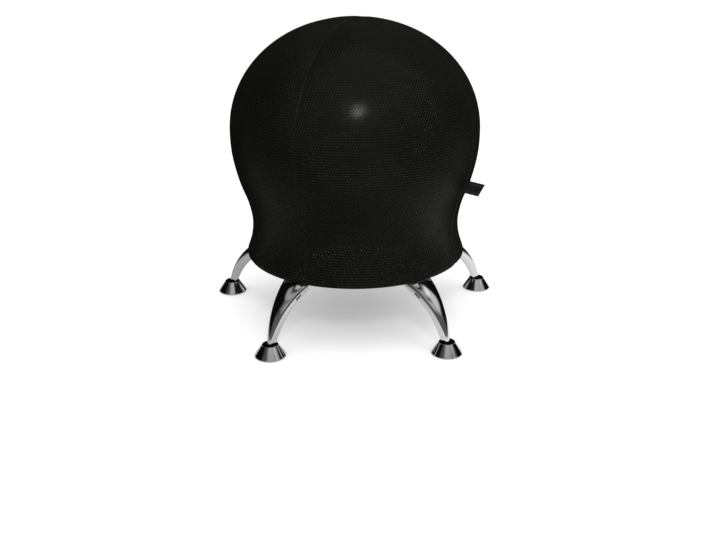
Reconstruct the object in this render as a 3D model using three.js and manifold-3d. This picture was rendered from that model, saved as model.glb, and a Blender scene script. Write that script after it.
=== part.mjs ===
// Balance ball chair: an inflated ball in a black mesh cover, held over a tubular ring
// that stands on five bent, tapered legs with tilting bell glides.
// Millimetres, +Z up. The origin is on the floor, at the middle of the chair's outer box.
// Angles are counted from the front (-Y) towards +X.
import * as THREE from 'three';
import { mergeVertices } from 'three/addons/utils/BufferGeometryUtils.js';
import Module from 'manifold-3d';

const wasm = await Module();
wasm.setup();

// Fits and cuts
const GAP = 0.3; // between pieces that touch
const OVERRUN = 2; // how far a cutting tool passes the faces it cuts
const ROUND_STEPS = 36; // facets round the ball, the dish and the ring

// Whole chair
const LEG_COUNT = 5;
const FOOT_CIRCLE_R = 271;
const FRONT_LEG_ANGLE = -36;
const SEAT_TOP = 579.5;

// Cover: the outer surface, from the crown to the hem
const EQUATOR_Z = 370;
const EQUATOR_R = 238.5;
const CROWN_FULLNESS = 2.04; // 2 is an ellipse, more is fuller
const WAIST_UP = 54; // above the hem
const WAIST_R = 201.3;
const SKIRT_R = 212.5; // widest place below the waist, where the hem's round starts
const HEM_Z = 126;
const HEM_ROUND = 6;
const COVER_T = 1.7;
const COVER_PANELS = 4;
const FIRST_SEAM_ANGLE = -27;
const CROWN_STEPS = 8;
const FLANK_STEPS = 10;
const HEM_STEPS = 3;
const PANEL_STEPS = 10;
const CROWN_HOLE_R = 2; // where the seams meet
// places between waist and equator: share of the height, share of the radius
const flankShares = [[0.13, 0.03], [0.295, 0.225], [0.516, 0.632], [0.766, 0.925]];
const skirtShares = [0.5, 0.31]; // the same, from skirt to waist

// Ball
const BALL_WALL = 1.5;
const BALL_CLEAR = 1.2; // to the cover, more than the sag of the facets
const BALL_ABOVE_TABS = 6;
const BALL_FULLNESS = 2.2; // of the lower half, which flattens on the dish
const BALL_LOWER_STEPS = 9;
const BALL_INNER_STEPS = 4;
const VALVE_R = 5;
const VALVE_BOSS_R = 10;
const VALVE_BOSS_H = 9;

// Valve plug
const PLUG_HEAD_R = 9;
const PLUG_HEAD_T = 2.5;
const PLUG_STEM_LENGTH = 13;
const PLUG_TIP_TAPER = 1;
const PLUG_STEPS = 10;

// Frame ring and its tabs
const RING_TUBE_R = 11;
const RING_TUBE_STEPS = 8;
const RING_CLEAR = 1.8; // to the cover, more than the sag of the facets
const TAB_T = 5;
const TAB_W = 50;
const TAB_SINK = 1.5; // how far the tube is let into the tab
const TAB_PAST_TUBE = 2.5;
const LEG_END_INSIDE_RING = 34.5; // from the tube's middle in to the end of the leg
const NUT_FLAT_R = 6;
const NUT_T = 5;

// Seat dish
const DISH_T = 4;
const DISH_HOLE_R = 34;
const DISH_RIM_SPREAD = 6;
const DISH_WALL_BULGE = 14;
const dishRimShare = 0.62; // rim radius as a share of the ball's

// Leg: long curve, short bend and flat end, then the plate that bolts to the ring
const LEG_FOOT_TILT = 77; // from the horizontal, at the glide
const LEG_TOP_TILT = 22; // where the long curve passes into the short bend
const legHandleShare = 0.627; // of the way to where the end tangents meet, for a round curve
const LEG_BEND_R = 50;
const LEG_FLAT = 12;
const LEG_FOOT_W = 14;
const LEG_FOOT_T = 14.5;
const LEG_TOP_W = 62;
const LEG_TOP_T = 21.5;
const LEG_END_W = 56;
const LEG_END_T = 19;
const LEG_WALL = 1.8;
const LEG_END_CAP = 3;
const LEG_TUBE_BELOW_PLATE_TOP = 1.5;
const LEG_CURVE_STEPS = 7;
const LEG_BORE_CURVE_STEPS = 4;
const LEG_BEND_STEPS = 1;
const LEG_SECTION_STEPS = 14;
const LEG_BORE_STEPS = 8;
const LEG_WIDTH_GROWTH = 1.16; // power of the way up
const LEG_DEPTH_GROWTH = 0.8;
const LEG_FOOT_FULLNESS = 2; // a round end, which flattens on the way up
const LEG_TOP_FULLNESS = 2.7;
const LEG_SLOT_LENGTH = 14; // vent in each rounded side, under the hem
const LEG_SLOT_W = 3.2;
const LEG_SLOT_UP = 98; // along the tube from its foot end
const PLATE_T = 5;
const PLATE_W = 60;
const PLATE_IN = 29; // from the tube's end inwards
const PLATE_OUT = 33; // from the tube's end outwards
const PLATE_CORNER_R = 8;
const BOLT_FROM_TUBE = 14;
const BOLT_SPACING = 24;

// Leg bolts
const BOLT_R = 2.9;
const BOLT_HEAD_R = 5.3;
const BOLT_HEAD_T = 4;
const BOLT_SOCKET_R = 2.6;
const BOLT_SOCKET_DEPTH = 2.4;
const BOLT_PAST_NUT = 1;
const BOLT_STEPS = 8;

// Bell glide
const BELL_BASE_R = 28.5;
const BELL_MOUTH_CLEAR = 2.95; // from the bell's inside to the leg that leans through its mouth
const BELL_TOP_Z = 22.9;
const BELL_WALL = 1.4;
const BELL_LIFT = 0.6; // the plastic pad stands this much proud of the rim
const BELL_RIM_H = 2;
const BELL_RIM_STEP = 1;
const BELL_LIP_ROUND = 1;
const BELL_STEPS = 20;
const PAD_FLOOR = 2.7;
const PAD_STEPS = 14;
const SOCKET_WALL = 3.4;
const SOCKET_ABOVE = 3.2; // how far the socket closes over the ball
const SOCKET_ARC_STEPS = 4;

// Stud and the insert in the leg's end
const STUD_BALL_R = 6;
const STUD_NECK_R = 2.8;
const STUD_NECK_LENGTH = 0.9; // that shows between the ball and the collar
const STUD_COLLAR_R = 5.4;
const STUD_COLLAR_T = 2;
const STUD_THREAD_R = 3;
const STUD_LENGTH = 23;
const STUD_ARC_STEPS = 5;
const STUD_STEPS = 8;
const INSERT_FLANGE_T = 1.5;
const INSERT_FLANGE_INSET = 0.6;
const INSERT_DEPTH = 11;

// Zip round the floor of the cover
const ZIP_TO_PLATE = 20; // from the zip's line to the leg plates
const ZIP_TAPE_W = 7.4;
const ZIP_TAPE_T = 1.2;
const ZIP_TEETH_W = 4.2;
const ZIP_TEETH_T = 1.3;
const FLOOR_HOLE_R = 25;
const ZIP_REST_ANGLE = 150;
const SLIDER_LENGTH = 13;
const SLIDER_SIDE = 2;
const SLIDER_FLOOR = 1.8;
const SLIDER_CLEAR = 0.9;
const SLIDER_NOSE_R = 3;
const BRIDGE_DROP = 4.6;
const BRIDGE_BAR = 1.6;
const BRIDGE_W = 2.4;
const BRIDGE_SPAN = 10;
const PULL_LENGTH = 26;
const PULL_W = 7.4;
const PULL_T = 1.2;
const PULL_BAR = 1.2;
const PULL_HOLE_LENGTH = 9;
const PULL_HOLE_W = 3.8;
const PULL_TIP_HOLE_R = 1.4;

// Side tag
const TAG_Z = 284;
const TAG_H = 16;
const TAG_LENGTH = 34;
const TAG_T = 1.6;
const TAG_DROOP = 22;

// Places worked out from the sizes
const rad = THREE.MathUtils.degToRad;
const sin = (degrees) => Math.sin(rad(degrees));
const cos = (degrees) => Math.cos(rad(degrees));
const legStep = 360 / LEG_COUNT;
const legAngles = Array.from({ length: LEG_COUNT }, (_, i) => FRONT_LEG_ANGLE + i * legStep);
const legNames = ['front_left', 'front_right', 'side_right', 'rear', 'side_left'];
const feetForward = FOOT_CIRCLE_R * Math.max(...legAngles.map(cos));
const feetBack = FOOT_CIRCLE_R * Math.max(...legAngles.map((angle) => -cos(angle)));
const seatAxisY = (feetForward - feetBack) / 2;
const seamAngles = Array.from({ length: COVER_PANELS }, (_, i) => FIRST_SEAM_ANGLE + i * 360 / COVER_PANELS);
const facetShrink = Math.cos(Math.PI / COVER_PANELS / PANEL_STEPS);

const plateTop = HEM_Z - GAP;
const ballCentreZ = PAD_FLOOR + GAP + STUD_BALL_R;
const collarFrom = STUD_BALL_R + STUD_NECK_LENGTH;
const collarTo = collarFrom + STUD_COLLAR_T;
const legStart = collarTo + GAP + INSERT_FLANGE_T + GAP; // from the glide's ball to the end of the tube
const mouthLean = (BELL_TOP_Z - ballCentreZ) / Math.tan(rad(LEG_FOOT_TILT));
const bellTopR = LEG_FOOT_T / 2 / sin(LEG_FOOT_TILT) + mouthLean + BELL_MOUTH_CLEAR + BELL_WALL;
const tabBottom = HEM_Z + COVER_T + GAP;
const tabTop = tabBottom + TAB_T;
const ringZ = tabBottom + TAB_SINK + RING_TUBE_R;
const coverSide = coverSideOutline();
const coverInside = inset(coverSide, COVER_T);
const tubeTurns = Array.from({ length: RING_TUBE_STEPS }, (_, i) => 360 * i / RING_TUBE_STEPS);
const ringR = Math.min(...tubeTurns.map((turn) => {
  const room = radiusAt(coverInside, ringZ + RING_TUBE_R * sin(turn)) * facetShrink - RING_CLEAR;
  return room - RING_TUBE_R * cos(turn);
}));
const ballBottomZ = tabTop + BALL_ABOVE_TABS;
const ballR = EQUATOR_R * facetShrink - COVER_T - BALL_CLEAR;
const ballCrownH = SEAT_TOP - EQUATOR_Z - COVER_T - BALL_CLEAR;
const ballLowerH = EQUATOR_Z - ballBottomZ;

const legEndR = ringR - LEG_END_INSIDE_RING;
const legEndZ = plateTop - LEG_TUBE_BELOW_PLATE_TOP - LEG_END_T / 2;
const legLine = legMiddleLine();
const [, legCurveLength, legBendLength] = legLine.curves.map((piece) => piece.getLength());
const legCurveEnd = legStart + legCurveLength;
const legLength = legLine.getLength();
const boltCircleX = legEndR - BOLT_FROM_TUBE;
const insertStops = [legStart, legStart + INSERT_DEPTH];
const plateInR = legEndR - PLATE_IN;
const plateOutR = legEndR + PLATE_OUT;
const zipR = plateInR - ZIP_TO_PLATE;
const coverEdgeR = (zipR + ZIP_TAPE_W / 2 + GAP) / facetShrink;
const floorEdgeR = zipR - ZIP_TAPE_W / 2 - GAP;

// Shape helpers

function between(low, high, share) {
  return low + (high - low) * share;
}

// A closed mesh: positions only, shared corners merged, collapsed facets left out, faces out.
function closed(geometry) {
  const source = geometry.clone();
  for (const name of Object.keys(source.attributes)) {
    if (name !== 'position') source.deleteAttribute(name);
  }
  const merged = mergeVertices(source.index ? source : mergeVertices(source));
  const index = merged.index.array;
  const kept = [];
  for (let i = 0; i < index.length; i += 3) {
    const [a, b, c] = [index[i], index[i + 1], index[i + 2]];
    if (a !== b && b !== c && c !== a) kept.push(a, b, c);
  }
  merged.setIndex(kept);
  return signedVolume(merged) < 0 ? flipped(merged) : merged;
}

function signedVolume(geometry) {
  const at = geometry.attributes.position;
  const index = geometry.index.array;
  const [a, b, c] = [new THREE.Vector3(), new THREE.Vector3(), new THREE.Vector3()];
  let sum = 0;
  for (let i = 0; i < index.length; i += 3) {
    a.fromBufferAttribute(at, index[i]);
    b.fromBufferAttribute(at, index[i + 1]);
    c.fromBufferAttribute(at, index[i + 2]);
    sum += a.dot(b.cross(c)) / 6;
  }
  return sum;
}

function flipped(geometry) {
  const index = Array.from(geometry.index.array);
  for (let i = 0; i < index.length; i += 3) {
    [index[i + 1], index[i + 2]] = [index[i + 2], index[i + 1]];
  }
  geometry.setIndex(index);
  return geometry;
}

function toSolid(geometry) {
  const mesh = closed(geometry);
  const vertProperties = new Float32Array(mesh.attributes.position.array);
  const triVerts = new Uint32Array(mesh.index.array);
  return new wasm.Manifold(new wasm.Mesh({ numProp: 3, vertProperties, triVerts }));
}

function fromSolid(solid) {
  const mesh = solid.getMesh();
  const geometry = new THREE.BufferGeometry();
  geometry.setAttribute('position', new THREE.BufferAttribute(new Float32Array(mesh.vertProperties), 3));
  geometry.setIndex(Array.from(mesh.triVerts));
  return geometry;
}

const join = (...parts) => fromSolid(parts.map(toSolid).reduce((a, b) => a.add(b)));
const cut = (body, ...tools) => fromSolid(tools.map(toSolid).reduce((a, b) => a.subtract(b), toSolid(body)));

// A profile of [radius, height] turned about the Z axis.
function turned(profile, steps = ROUND_STEPS) {
  const points = profile.map(([r, z]) => new THREE.Vector2(r, z));
  return closed(new THREE.LatheGeometry(points, steps).rotateX(Math.PI / 2));
}

// A profile that closes on itself, turned about the Z axis.
const turnedRing = (profile, steps = ROUND_STEPS) => turned([...profile, profile[0]], steps);

function cylinder(r, fromZ, toZ, steps, x = 0, y = 0) {
  const geometry = new THREE.CylinderGeometry(r, r, toZ - fromZ, steps).rotateX(Math.PI / 2);
  return geometry.translate(x, y, (fromZ + toZ) / 2);
}

// A flat outline in X and Y made into a slab from one height to another.
function slab(shape, fromZ, toZ, curveSegments = 3) {
  const settings = { depth: toZ - fromZ, bevelEnabled: false, curveSegments };
  return closed(new THREE.ExtrudeGeometry(shape, settings).translate(0, 0, fromZ));
}

function roundedRectangle(x0, x1, width, r) {
  const shape = new THREE.Shape();
  const y = width / 2;
  shape.moveTo(x0 + r, -y);
  shape.lineTo(x1 - r, -y);
  shape.absarc(x1 - r, -y + r, r, -Math.PI / 2, 0);
  shape.lineTo(x1, y - r);
  shape.absarc(x1 - r, y - r, r, 0, Math.PI / 2);
  shape.lineTo(x0 + r, y);
  shape.absarc(x0 + r, y - r, r, Math.PI / 2, Math.PI);
  shape.lineTo(x0, -y + r);
  shape.absarc(x0 + r, -y + r, r, Math.PI, Math.PI * 1.5);
  return shape;
}

function circularHole(x, y, r) {
  return new THREE.Path().absarc(x, y, r, 0, Math.PI * 2, true);
}

// Rings of equally many points, joined one to the next and closed at both ends.
function lofted(rings) {
  const steps = rings[0].length;
  const positions = rings.flat().flatMap((p) => [p.x, p.y, p.z]);
  const index = [];
  for (let i = 0; i + 1 < rings.length; i++) {
    for (let j = 0; j < steps; j++) {
      const [a, b] = [i * steps + j, i * steps + (j + 1) % steps];
      index.push(a, b, b + steps, a, b + steps, a + steps);
    }
  }
  const last = (rings.length - 1) * steps;
  for (let j = 1; j + 1 < steps; j++) {
    index.push(0, j + 1, j, last, last + j, last + j + 1);
  }
  const geometry = new THREE.BufferGeometry();
  geometry.setAttribute('position', new THREE.Float32BufferAttribute(positions, 3));
  geometry.setIndex(index);
  return closed(geometry);
}

// Materials
function material(color, roughness, metalness) {
  return new THREE.MeshStandardMaterial({ color, roughness, metalness });
}
const coverMesh = material(0x17181a, 0.85, 0);
const chrome = material(0xd9dbdd, 0.08, 1);
const paintedSteel = material(0x1b1b1c, 0.5, 0.4);
const dishPlastic = material(0x232426, 0.6, 0);
const ballVinyl = material(0x2b2d30, 0.4, 0);
const padPlastic = material(0x1d1d1e, 0.6, 0);
const zinc = material(0x8f9194, 0.35, 1);
const zipNylon = material(0x101011, 0.6, 0);
const tagWeave = material(0x141415, 0.8, 0);

const chair = new THREE.Group();
const seat = new THREE.Group();
seat.position.y = seatAxisY;
chair.add(seat);

function add(parent, name, geometry, finish) {
  const mesh = new THREE.Mesh(geometry, finish);
  mesh.name = name;
  parent.add(mesh);
  return mesh;
}

// Cover

// One quarter of an oval, from the equator towards a pole, as [radius, height above the equator].
function ovalPoint(radius, height, fullness, turn) {
  const r = radius * Math.cos(turn) ** (2 / fullness);
  return [r, height * Math.sin(turn) ** (2 / fullness)];
}

// The turns of the crown's points, from the edge of its hole down to the last above the equator.
function crownTurns() {
  const holeTurn = Math.acos((CROWN_HOLE_R / EQUATOR_R) ** (CROWN_FULLNESS / 2));
  return Array.from({ length: CROWN_STEPS }, (_, i) => holeTurn * (1 - i / CROWN_STEPS));
}

// The outer surface as [radius, height], from the crown down to the end of the hem's round.
function coverSideOutline() {
  const points = crownTurns().map((turn) => {
    const [r, h] = ovalPoint(EQUATOR_R, SEAT_TOP - EQUATOR_Z, CROWN_FULLNESS, turn);
    return [r, EQUATOR_Z + h];
  });
  const [waistZ, skirtZ] = [HEM_Z + WAIST_UP, HEM_Z + HEM_ROUND];
  const route = [[EQUATOR_R, EQUATOR_Z]];
  for (const [up, out] of [...flankShares].reverse()) {
    route.push([between(WAIST_R, EQUATOR_R, out), between(waistZ, EQUATOR_Z, up)]);
  }
  route.push([WAIST_R, waistZ]);
  const [skirtUp, skirtOut] = skirtShares;
  route.push([between(WAIST_R, SKIRT_R, skirtOut), between(skirtZ, waistZ, skirtUp)]);
  route.push([SKIRT_R, skirtZ]);
  const flank = new THREE.SplineCurve(route.map(([r, z]) => new THREE.Vector2(r, z)));
  for (const p of flank.getSpacedPoints(FLANK_STEPS)) points.push([p.x, p.y]);
  for (let i = 1; i <= HEM_STEPS; i++) {
    const turn = 90 * i / HEM_STEPS;
    points.push([SKIRT_R - HEM_ROUND * (1 - cos(turn)), HEM_Z + HEM_ROUND * (1 - sin(turn))]);
  }
  return points;
}

// The radius of an outline that falls from its first point, at a height.
function radiusAt(outline, z) {
  const i = outline.findIndex((point, k) => k > 0 && point[1] <= z);
  const [above, below] = [outline[i - 1], outline[i]];
  return below[0] + (above[0] - below[0]) * (z - below[1]) / (above[1] - below[1]);
}

// The outline moved inwards by a distance, corner by corner.
function inset(points, distance) {
  return points.map(([r, z], i) => {
    const before = points[Math.max(i - 1, 0)];
    const after = points[Math.min(i + 1, points.length - 1)];
    const along = new THREE.Vector2(after[0] - before[0], after[1] - before[1]).normalize();
    return [r + along.y * distance, z - along.x * distance];
  });
}

// One gore of the cover: a band of the outline between two seams, with a seam gap at each side.
function coverPanel(fromAngle, toAngle) {
  const outer = [...coverSide, [coverEdgeR, HEM_Z]];
  const profile = [...outer, ...inset(outer, COVER_T).reverse()];
  const ends = [fromAngle, toAngle].map((angle) => rad(angle - 90));
  const columns = profile.map(([r, z]) => {
    const trim = Math.asin(GAP / 2 / r);
    const start = ends[0] + trim;
    const sweep = ends[1] - trim - start;
    return Array.from({ length: PANEL_STEPS + 1 }, (_, j) => {
      const turn = start + sweep * j / PANEL_STEPS;
      return new THREE.Vector3(r * Math.cos(turn), r * Math.sin(turn), z);
    });
  });
  const steps = PANEL_STEPS + 1;
  const count = profile.length;
  const index = [];
  for (let i = 0; i < count; i++) {
    for (let j = 0; j < PANEL_STEPS; j++) {
      const a = i * steps + j;
      const b = (i + 1) % count * steps + j;
      index.push(a, b, a + 1, a + 1, b, b + 1);
    }
  }
  for (let i = 0; i + 1 < count / 2; i++) {
    const [a, b, c, d] = [i, i + 1, count - 2 - i, count - 1 - i].map((k) => k * steps);
    index.push(a, c, b, a, d, c);
    index.push(...[a, b, c, a, c, d].map((k) => k + PANEL_STEPS));
  }
  const geometry = new THREE.BufferGeometry();
  const positions = columns.flat().flatMap((p) => [p.x, p.y, p.z]);
  geometry.setAttribute('position', new THREE.Float32BufferAttribute(positions, 3));
  geometry.setIndex(index);
  return closed(geometry);
}

// Where the leg bolts pass, in the seat's plan.
function boltPlaces() {
  return legAngles.flatMap((angle) => [-1, 1].map((side) => {
    const along = new THREE.Vector2(sin(angle), -cos(angle)).multiplyScalar(boltCircleX);
    const across = new THREE.Vector2(cos(angle), sin(angle)).multiplyScalar(side * BOLT_SPACING / 2);
    return along.add(across);
  }));
}

function addCover() {
  const holes = boltPlaces().map(({ x, y }) => {
    return cylinder(BOLT_R + GAP * 2, HEM_Z - OVERRUN, tabBottom, BOLT_STEPS, x, y);
  });
  const names = ['cover_panel_front', 'cover_panel_right', 'cover_panel_rear', 'cover_panel_left'];
  seamAngles.forEach((angle, i) => {
    const panel = coverPanel(angle, angle + 360 / COVER_PANELS);
    add(seat, names[i], cut(panel, ...holes), coverMesh);
  });
  const floor = [[FLOOR_HOLE_R, HEM_Z], [floorEdgeR, HEM_Z], [floorEdgeR, HEM_Z + COVER_T],
    [FLOOR_HOLE_R, HEM_Z + COVER_T]];
  add(seat, 'cover_floor_panel', turnedRing(floor), coverMesh);
}

// Ball, its plug and the dish under it

// The lower half of the ball, from its equator to the valve, where the cover lets it bulge.
function ballLowerPoint(inward, step, steps) {
  const radius = ballR - inward;
  const holeTurn = Math.acos((VALVE_R / radius) ** (BALL_FULLNESS / 2));
  const [r, h] = ovalPoint(radius, ballLowerH - inward, BALL_FULLNESS, holeTurn * step / steps);
  const room = radiusAt(coverInside, EQUATOR_Z - h) * facetShrink - BALL_CLEAR - inward;
  return [Math.min(r, room), EQUATOR_Z - h];
}

function addBall() {
  const profile = crownTurns().map((turn, i) => {
    const [r, h] = ovalPoint(ballR, ballCrownH, CROWN_FULLNESS, turn);
    return [i === 0 ? 0 : r, EQUATOR_Z + h];
  });
  for (let i = 0; i <= BALL_LOWER_STEPS; i++) {
    profile.push(ballLowerPoint(0, i, BALL_LOWER_STEPS));
  }
  const bossTop = ballBottomZ + VALVE_BOSS_H;
  profile.push([VALVE_R, bossTop], [VALVE_BOSS_R, bossTop], [VALVE_BOSS_R, ballBottomZ + BALL_WALL * 2]);
  for (let i = BALL_INNER_STEPS - 1; i >= 0; i--) {
    profile.push(ballLowerPoint(BALL_WALL, i, BALL_INNER_STEPS));
  }
  for (let i = 1; i <= BALL_INNER_STEPS; i++) {
    const turn = Math.PI / 2 * i / BALL_INNER_STEPS;
    const [r, h] = ovalPoint(ballR - BALL_WALL, ballCrownH - BALL_WALL, CROWN_FULLNESS, turn);
    profile.push([i === BALL_INNER_STEPS ? 0 : r, EQUATOR_Z + h]);
  }
  add(seat, 'ball', turned(profile), ballVinyl);
}

function addValvePlug() {
  const headTop = ballBottomZ - GAP;
  const stemR = VALVE_R - GAP - GAP;
  const tipZ = headTop + PLUG_STEM_LENGTH;
  const profile = [[0, headTop - PLUG_HEAD_T], [PLUG_HEAD_R - PLUG_TIP_TAPER, headTop - PLUG_HEAD_T],
    [PLUG_HEAD_R, headTop - PLUG_HEAD_T / 2], [PLUG_HEAD_R, headTop], [stemR, headTop],
    [stemR, tipZ - PLUG_TIP_TAPER], [stemR - PLUG_TIP_TAPER, tipZ], [0, tipZ]];
  add(seat, 'valve_plug', turned(profile, PLUG_STEPS), padPlastic);
}

// The dish follows the ball's own outline, a gap below it, and stands on the tabs inside the ring.
function addDish() {
  const bowl = [];
  for (let i = 0; i <= BALL_LOWER_STEPS; i++) {
    const point = ballLowerPoint(0, i, BALL_LOWER_STEPS);
    if (point[0] >= DISH_HOLE_R && point[0] <= ballR * dishRimShare) bowl.push(point);
  }
  const top = inset(bowl, -GAP);
  const under = inset(bowl, -GAP - DISH_T);
  const [rimR, rimZ] = under[0];
  const footR = ringR - RING_TUBE_R - GAP;
  const footZ = tabTop + GAP;
  const shoulderZ = (rimZ + footZ) / 2 + DISH_WALL_BULGE / 2;
  const rim = [top[0][0] + DISH_RIM_SPREAD, top[0][1]];
  const profile = [...top, ...[...under].reverse(), [footR - DISH_WALL_BULGE - DISH_T, shoulderZ],
    [footR - DISH_T, footZ], [footR, footZ], [footR - DISH_WALL_BULGE + DISH_T, shoulderZ + DISH_T], rim];
  add(seat, 'seat_dish', turnedRing(profile), dishPlastic);
}

// Frame ring with five welded tabs

function addFrameRing() {
  const tube = new THREE.TorusGeometry(ringR, RING_TUBE_R, RING_TUBE_STEPS, ROUND_STEPS);
  const parts = [tube.translate(0, 0, ringZ)];
  const cutters = [];
  for (const angle of legAngles) {
    const turn = rad(angle - 90);
    const outline = roundedRectangle(plateInR, ringR + TAB_PAST_TUBE, TAB_W, PLATE_CORNER_R / 2);
    parts.push(slab(outline, tabBottom, tabTop).rotateZ(turn));
    for (const side of [-1, 1]) {
      const y = side * BOLT_SPACING / 2;
      const nutR = NUT_FLAT_R / cos(30);
      parts.push(cylinder(nutR, tabTop - GAP, tabTop + NUT_T, 6, boltCircleX, y).rotateZ(turn));
      const bore = cylinder(BOLT_R + GAP, tabBottom - OVERRUN, tabTop + NUT_T + OVERRUN, BOLT_STEPS,
        boltCircleX, y);
      cutters.push(bore.rotateZ(turn));
    }
  }
  add(seat, 'frame_ring', cut(join(...parts), ...cutters), paintedSteel);
}

// Leg, bolts and glide, each made once in a frame whose +X points outwards

// The leg's middle line, from the glide's ball: straight, a long curve, a short bend, a flat end.
function legMiddleLine() {
  const footWay = new THREE.Vector2(-cos(LEG_FOOT_TILT), sin(LEG_FOOT_TILT));
  const topWay = new THREE.Vector2(-cos(LEG_TOP_TILT), sin(LEG_TOP_TILT));
  const glide = new THREE.Vector2(FOOT_CIRCLE_R, ballCentreZ);
  const start = footWay.clone().multiplyScalar(legStart).add(glide);
  const bendCentre = new THREE.Vector2(legEndR + LEG_FLAT, legEndZ - LEG_BEND_R);
  const bendStart = new THREE.Vector2(sin(LEG_TOP_TILT), cos(LEG_TOP_TILT));
  bendStart.multiplyScalar(LEG_BEND_R).add(bendCentre);
  const chord = bendStart.clone().sub(start);
  const turn = sin(LEG_FOOT_TILT - LEG_TOP_TILT);
  const footHandle = legHandleShare * chord.cross(topWay) / turn;
  const topHandle = legHandleShare * footWay.cross(chord) / turn;
  const line = new THREE.CurvePath();
  line.add(new THREE.LineCurve(glide, start));
  line.add(new THREE.CubicBezierCurve(start, footWay.multiplyScalar(footHandle).add(start),
    topWay.multiplyScalar(-topHandle).add(bendStart), bendStart));
  line.add(new THREE.EllipseCurve(bendCentre.x, bendCentre.y, LEG_BEND_R, LEG_BEND_R,
    rad(90 - LEG_TOP_TILT), rad(90)));
  const flatStart = new THREE.Vector2(bendCentre.x, legEndZ);
  line.add(new THREE.LineCurve(flatStart, new THREE.Vector2(legEndR, legEndZ)));
  return line;
}

// A place on that line, counted from the glide's ball, its slope and the tube's section there.
function legStation(distance) {
  const place = legLine.getPoint(distance / legLength);
  const way = legLine.getTangent(distance / legLength);
  const slope = THREE.MathUtils.radToDeg(Math.atan2(way.y, -way.x));
  const up = THREE.MathUtils.clamp((distance - legStart) / legCurveLength, 0, 1);
  const past = Math.max((distance - legCurveEnd) / (legLength - legCurveEnd), 0);
  const grown = (foot, top, end, growth) => between(foot, top, up ** growth) + (end - top) * past;
  const width = grown(LEG_FOOT_W, LEG_TOP_W, LEG_END_W, LEG_WIDTH_GROWTH);
  const depth = grown(LEG_FOOT_T, LEG_TOP_T, LEG_END_T, LEG_DEPTH_GROWTH);
  const fullness = between(LEG_FOOT_FULLNESS, LEG_TOP_FULLNESS, Math.sqrt(up));
  return { x: place.x, z: place.y, slope, width, depth, fullness };
}

// The flattened oval at a station, square to the middle line, made smaller all round by an inset.
function legRing(distance, insetBy, steps) {
  const { x, z, slope, width, depth, fullness } = legStation(distance);
  const squared = (wave) => Math.sign(wave) * Math.abs(wave) ** (2 / fullness);
  return Array.from({ length: steps }, (_, i) => {
    const turn = Math.PI * 2 * i / steps;
    const across = (width / 2 - insetBy) * squared(Math.cos(turn));
    const out = (depth / 2 - insetBy) * squared(Math.sin(turn));
    return new THREE.Vector3(x + sin(slope) * out, across, z + cos(slope) * out);
  });
}

// A slot's round-ended prism, right across the tube.
function legSlot() {
  const { x, z, slope, width } = legStation(legStart + LEG_SLOT_UP);
  const half = LEG_SLOT_LENGTH / 2;
  const outline = roundedRectangle(-half, half, LEG_SLOT_W, LEG_SLOT_W / 2);
  const reach = width / 2 + OVERRUN;
  return slab(outline, -reach, reach, 1).rotateX(Math.PI / 2).rotateY(rad(slope)).translate(x, 0, z);
}

function legDistances(from, to, curveSteps) {
  const places = [];
  for (let i = 0; i < curveSteps; i++) places.push(from + (legCurveEnd - from) * i / curveSteps);
  for (let i = 0; i <= LEG_BEND_STEPS; i++) places.push(legCurveEnd + legBendLength * i / LEG_BEND_STEPS);
  return [...places, to];
}

function legGeometry() {
  const outside = legDistances(legStart, legLength, LEG_CURVE_STEPS);
  const tube = lofted(outside.map((s) => legRing(s, 0, LEG_SECTION_STEPS)));
  const bore = [legStart - OVERRUN, ...insertStops.slice(0, -1),
    ...legDistances(insertStops.at(-1), legLength - LEG_END_CAP, LEG_BORE_CURVE_STEPS)];
  const hollow = lofted(bore.map((s) => legRing(s, LEG_WALL, LEG_BORE_STEPS)));
  const outline = roundedRectangle(plateInR, plateOutR, PLATE_W, PLATE_CORNER_R);
  const plate = slab(outline, plateTop - PLATE_T, plateTop);
  const holes = [-1, 1].map((side) => {
    const y = side * BOLT_SPACING / 2;
    const [from, to] = [plateTop - PLATE_T - OVERRUN, plateTop + OVERRUN];
    return cylinder(BOLT_R + GAP, from, to, BOLT_STEPS, boltCircleX, y);
  });
  return cut(join(tube, plate), hollow, legSlot(), ...holes);
}

function boltGeometry() {
  const headTop = plateTop - PLATE_T - GAP;
  const tip = tabTop + NUT_T + BOLT_PAST_NUT;
  const floor = headTop - BOLT_HEAD_T;
  const profile = [[0, floor], [BOLT_HEAD_R - GAP * 2, floor], [BOLT_HEAD_R, headTop - BOLT_HEAD_T / 2],
    [BOLT_HEAD_R, headTop], [BOLT_R, headTop], [BOLT_R, tip], [0, tip]];
  const socket = cylinder(BOLT_SOCKET_R, floor - OVERRUN, floor + BOLT_SOCKET_DEPTH, 6);
  return cut(turned(profile, BOLT_STEPS), socket);
}

// Turned about the glide's upright axis, with its height counted from the floor.
function bellGeometry() {
  const base = BELL_LIFT;
  const rimTop = base + BELL_RIM_H;
  const coneR = BELL_BASE_R - BELL_RIM_STEP;
  const shelfZ = PAD_FLOOR + GAP;
  const innerBaseR = BELL_BASE_R - BELL_WALL;
  const profile = [[innerBaseR, base], [BELL_BASE_R, base], [BELL_BASE_R, rimTop],
    [coneR, rimTop + BELL_RIM_STEP], [bellTopR, BELL_TOP_Z - BELL_LIP_ROUND],
    [bellTopR - BELL_LIP_ROUND / 2, BELL_TOP_Z], [bellTopR - BELL_WALL, BELL_TOP_Z - BELL_LIP_ROUND / 2],
    [coneR - BELL_WALL * 2, rimTop + BELL_RIM_STEP], [coneR - BELL_WALL * 2, shelfZ],
    [innerBaseR, shelfZ]];
  return turnedRing(profile, BELL_STEPS);
}

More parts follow.
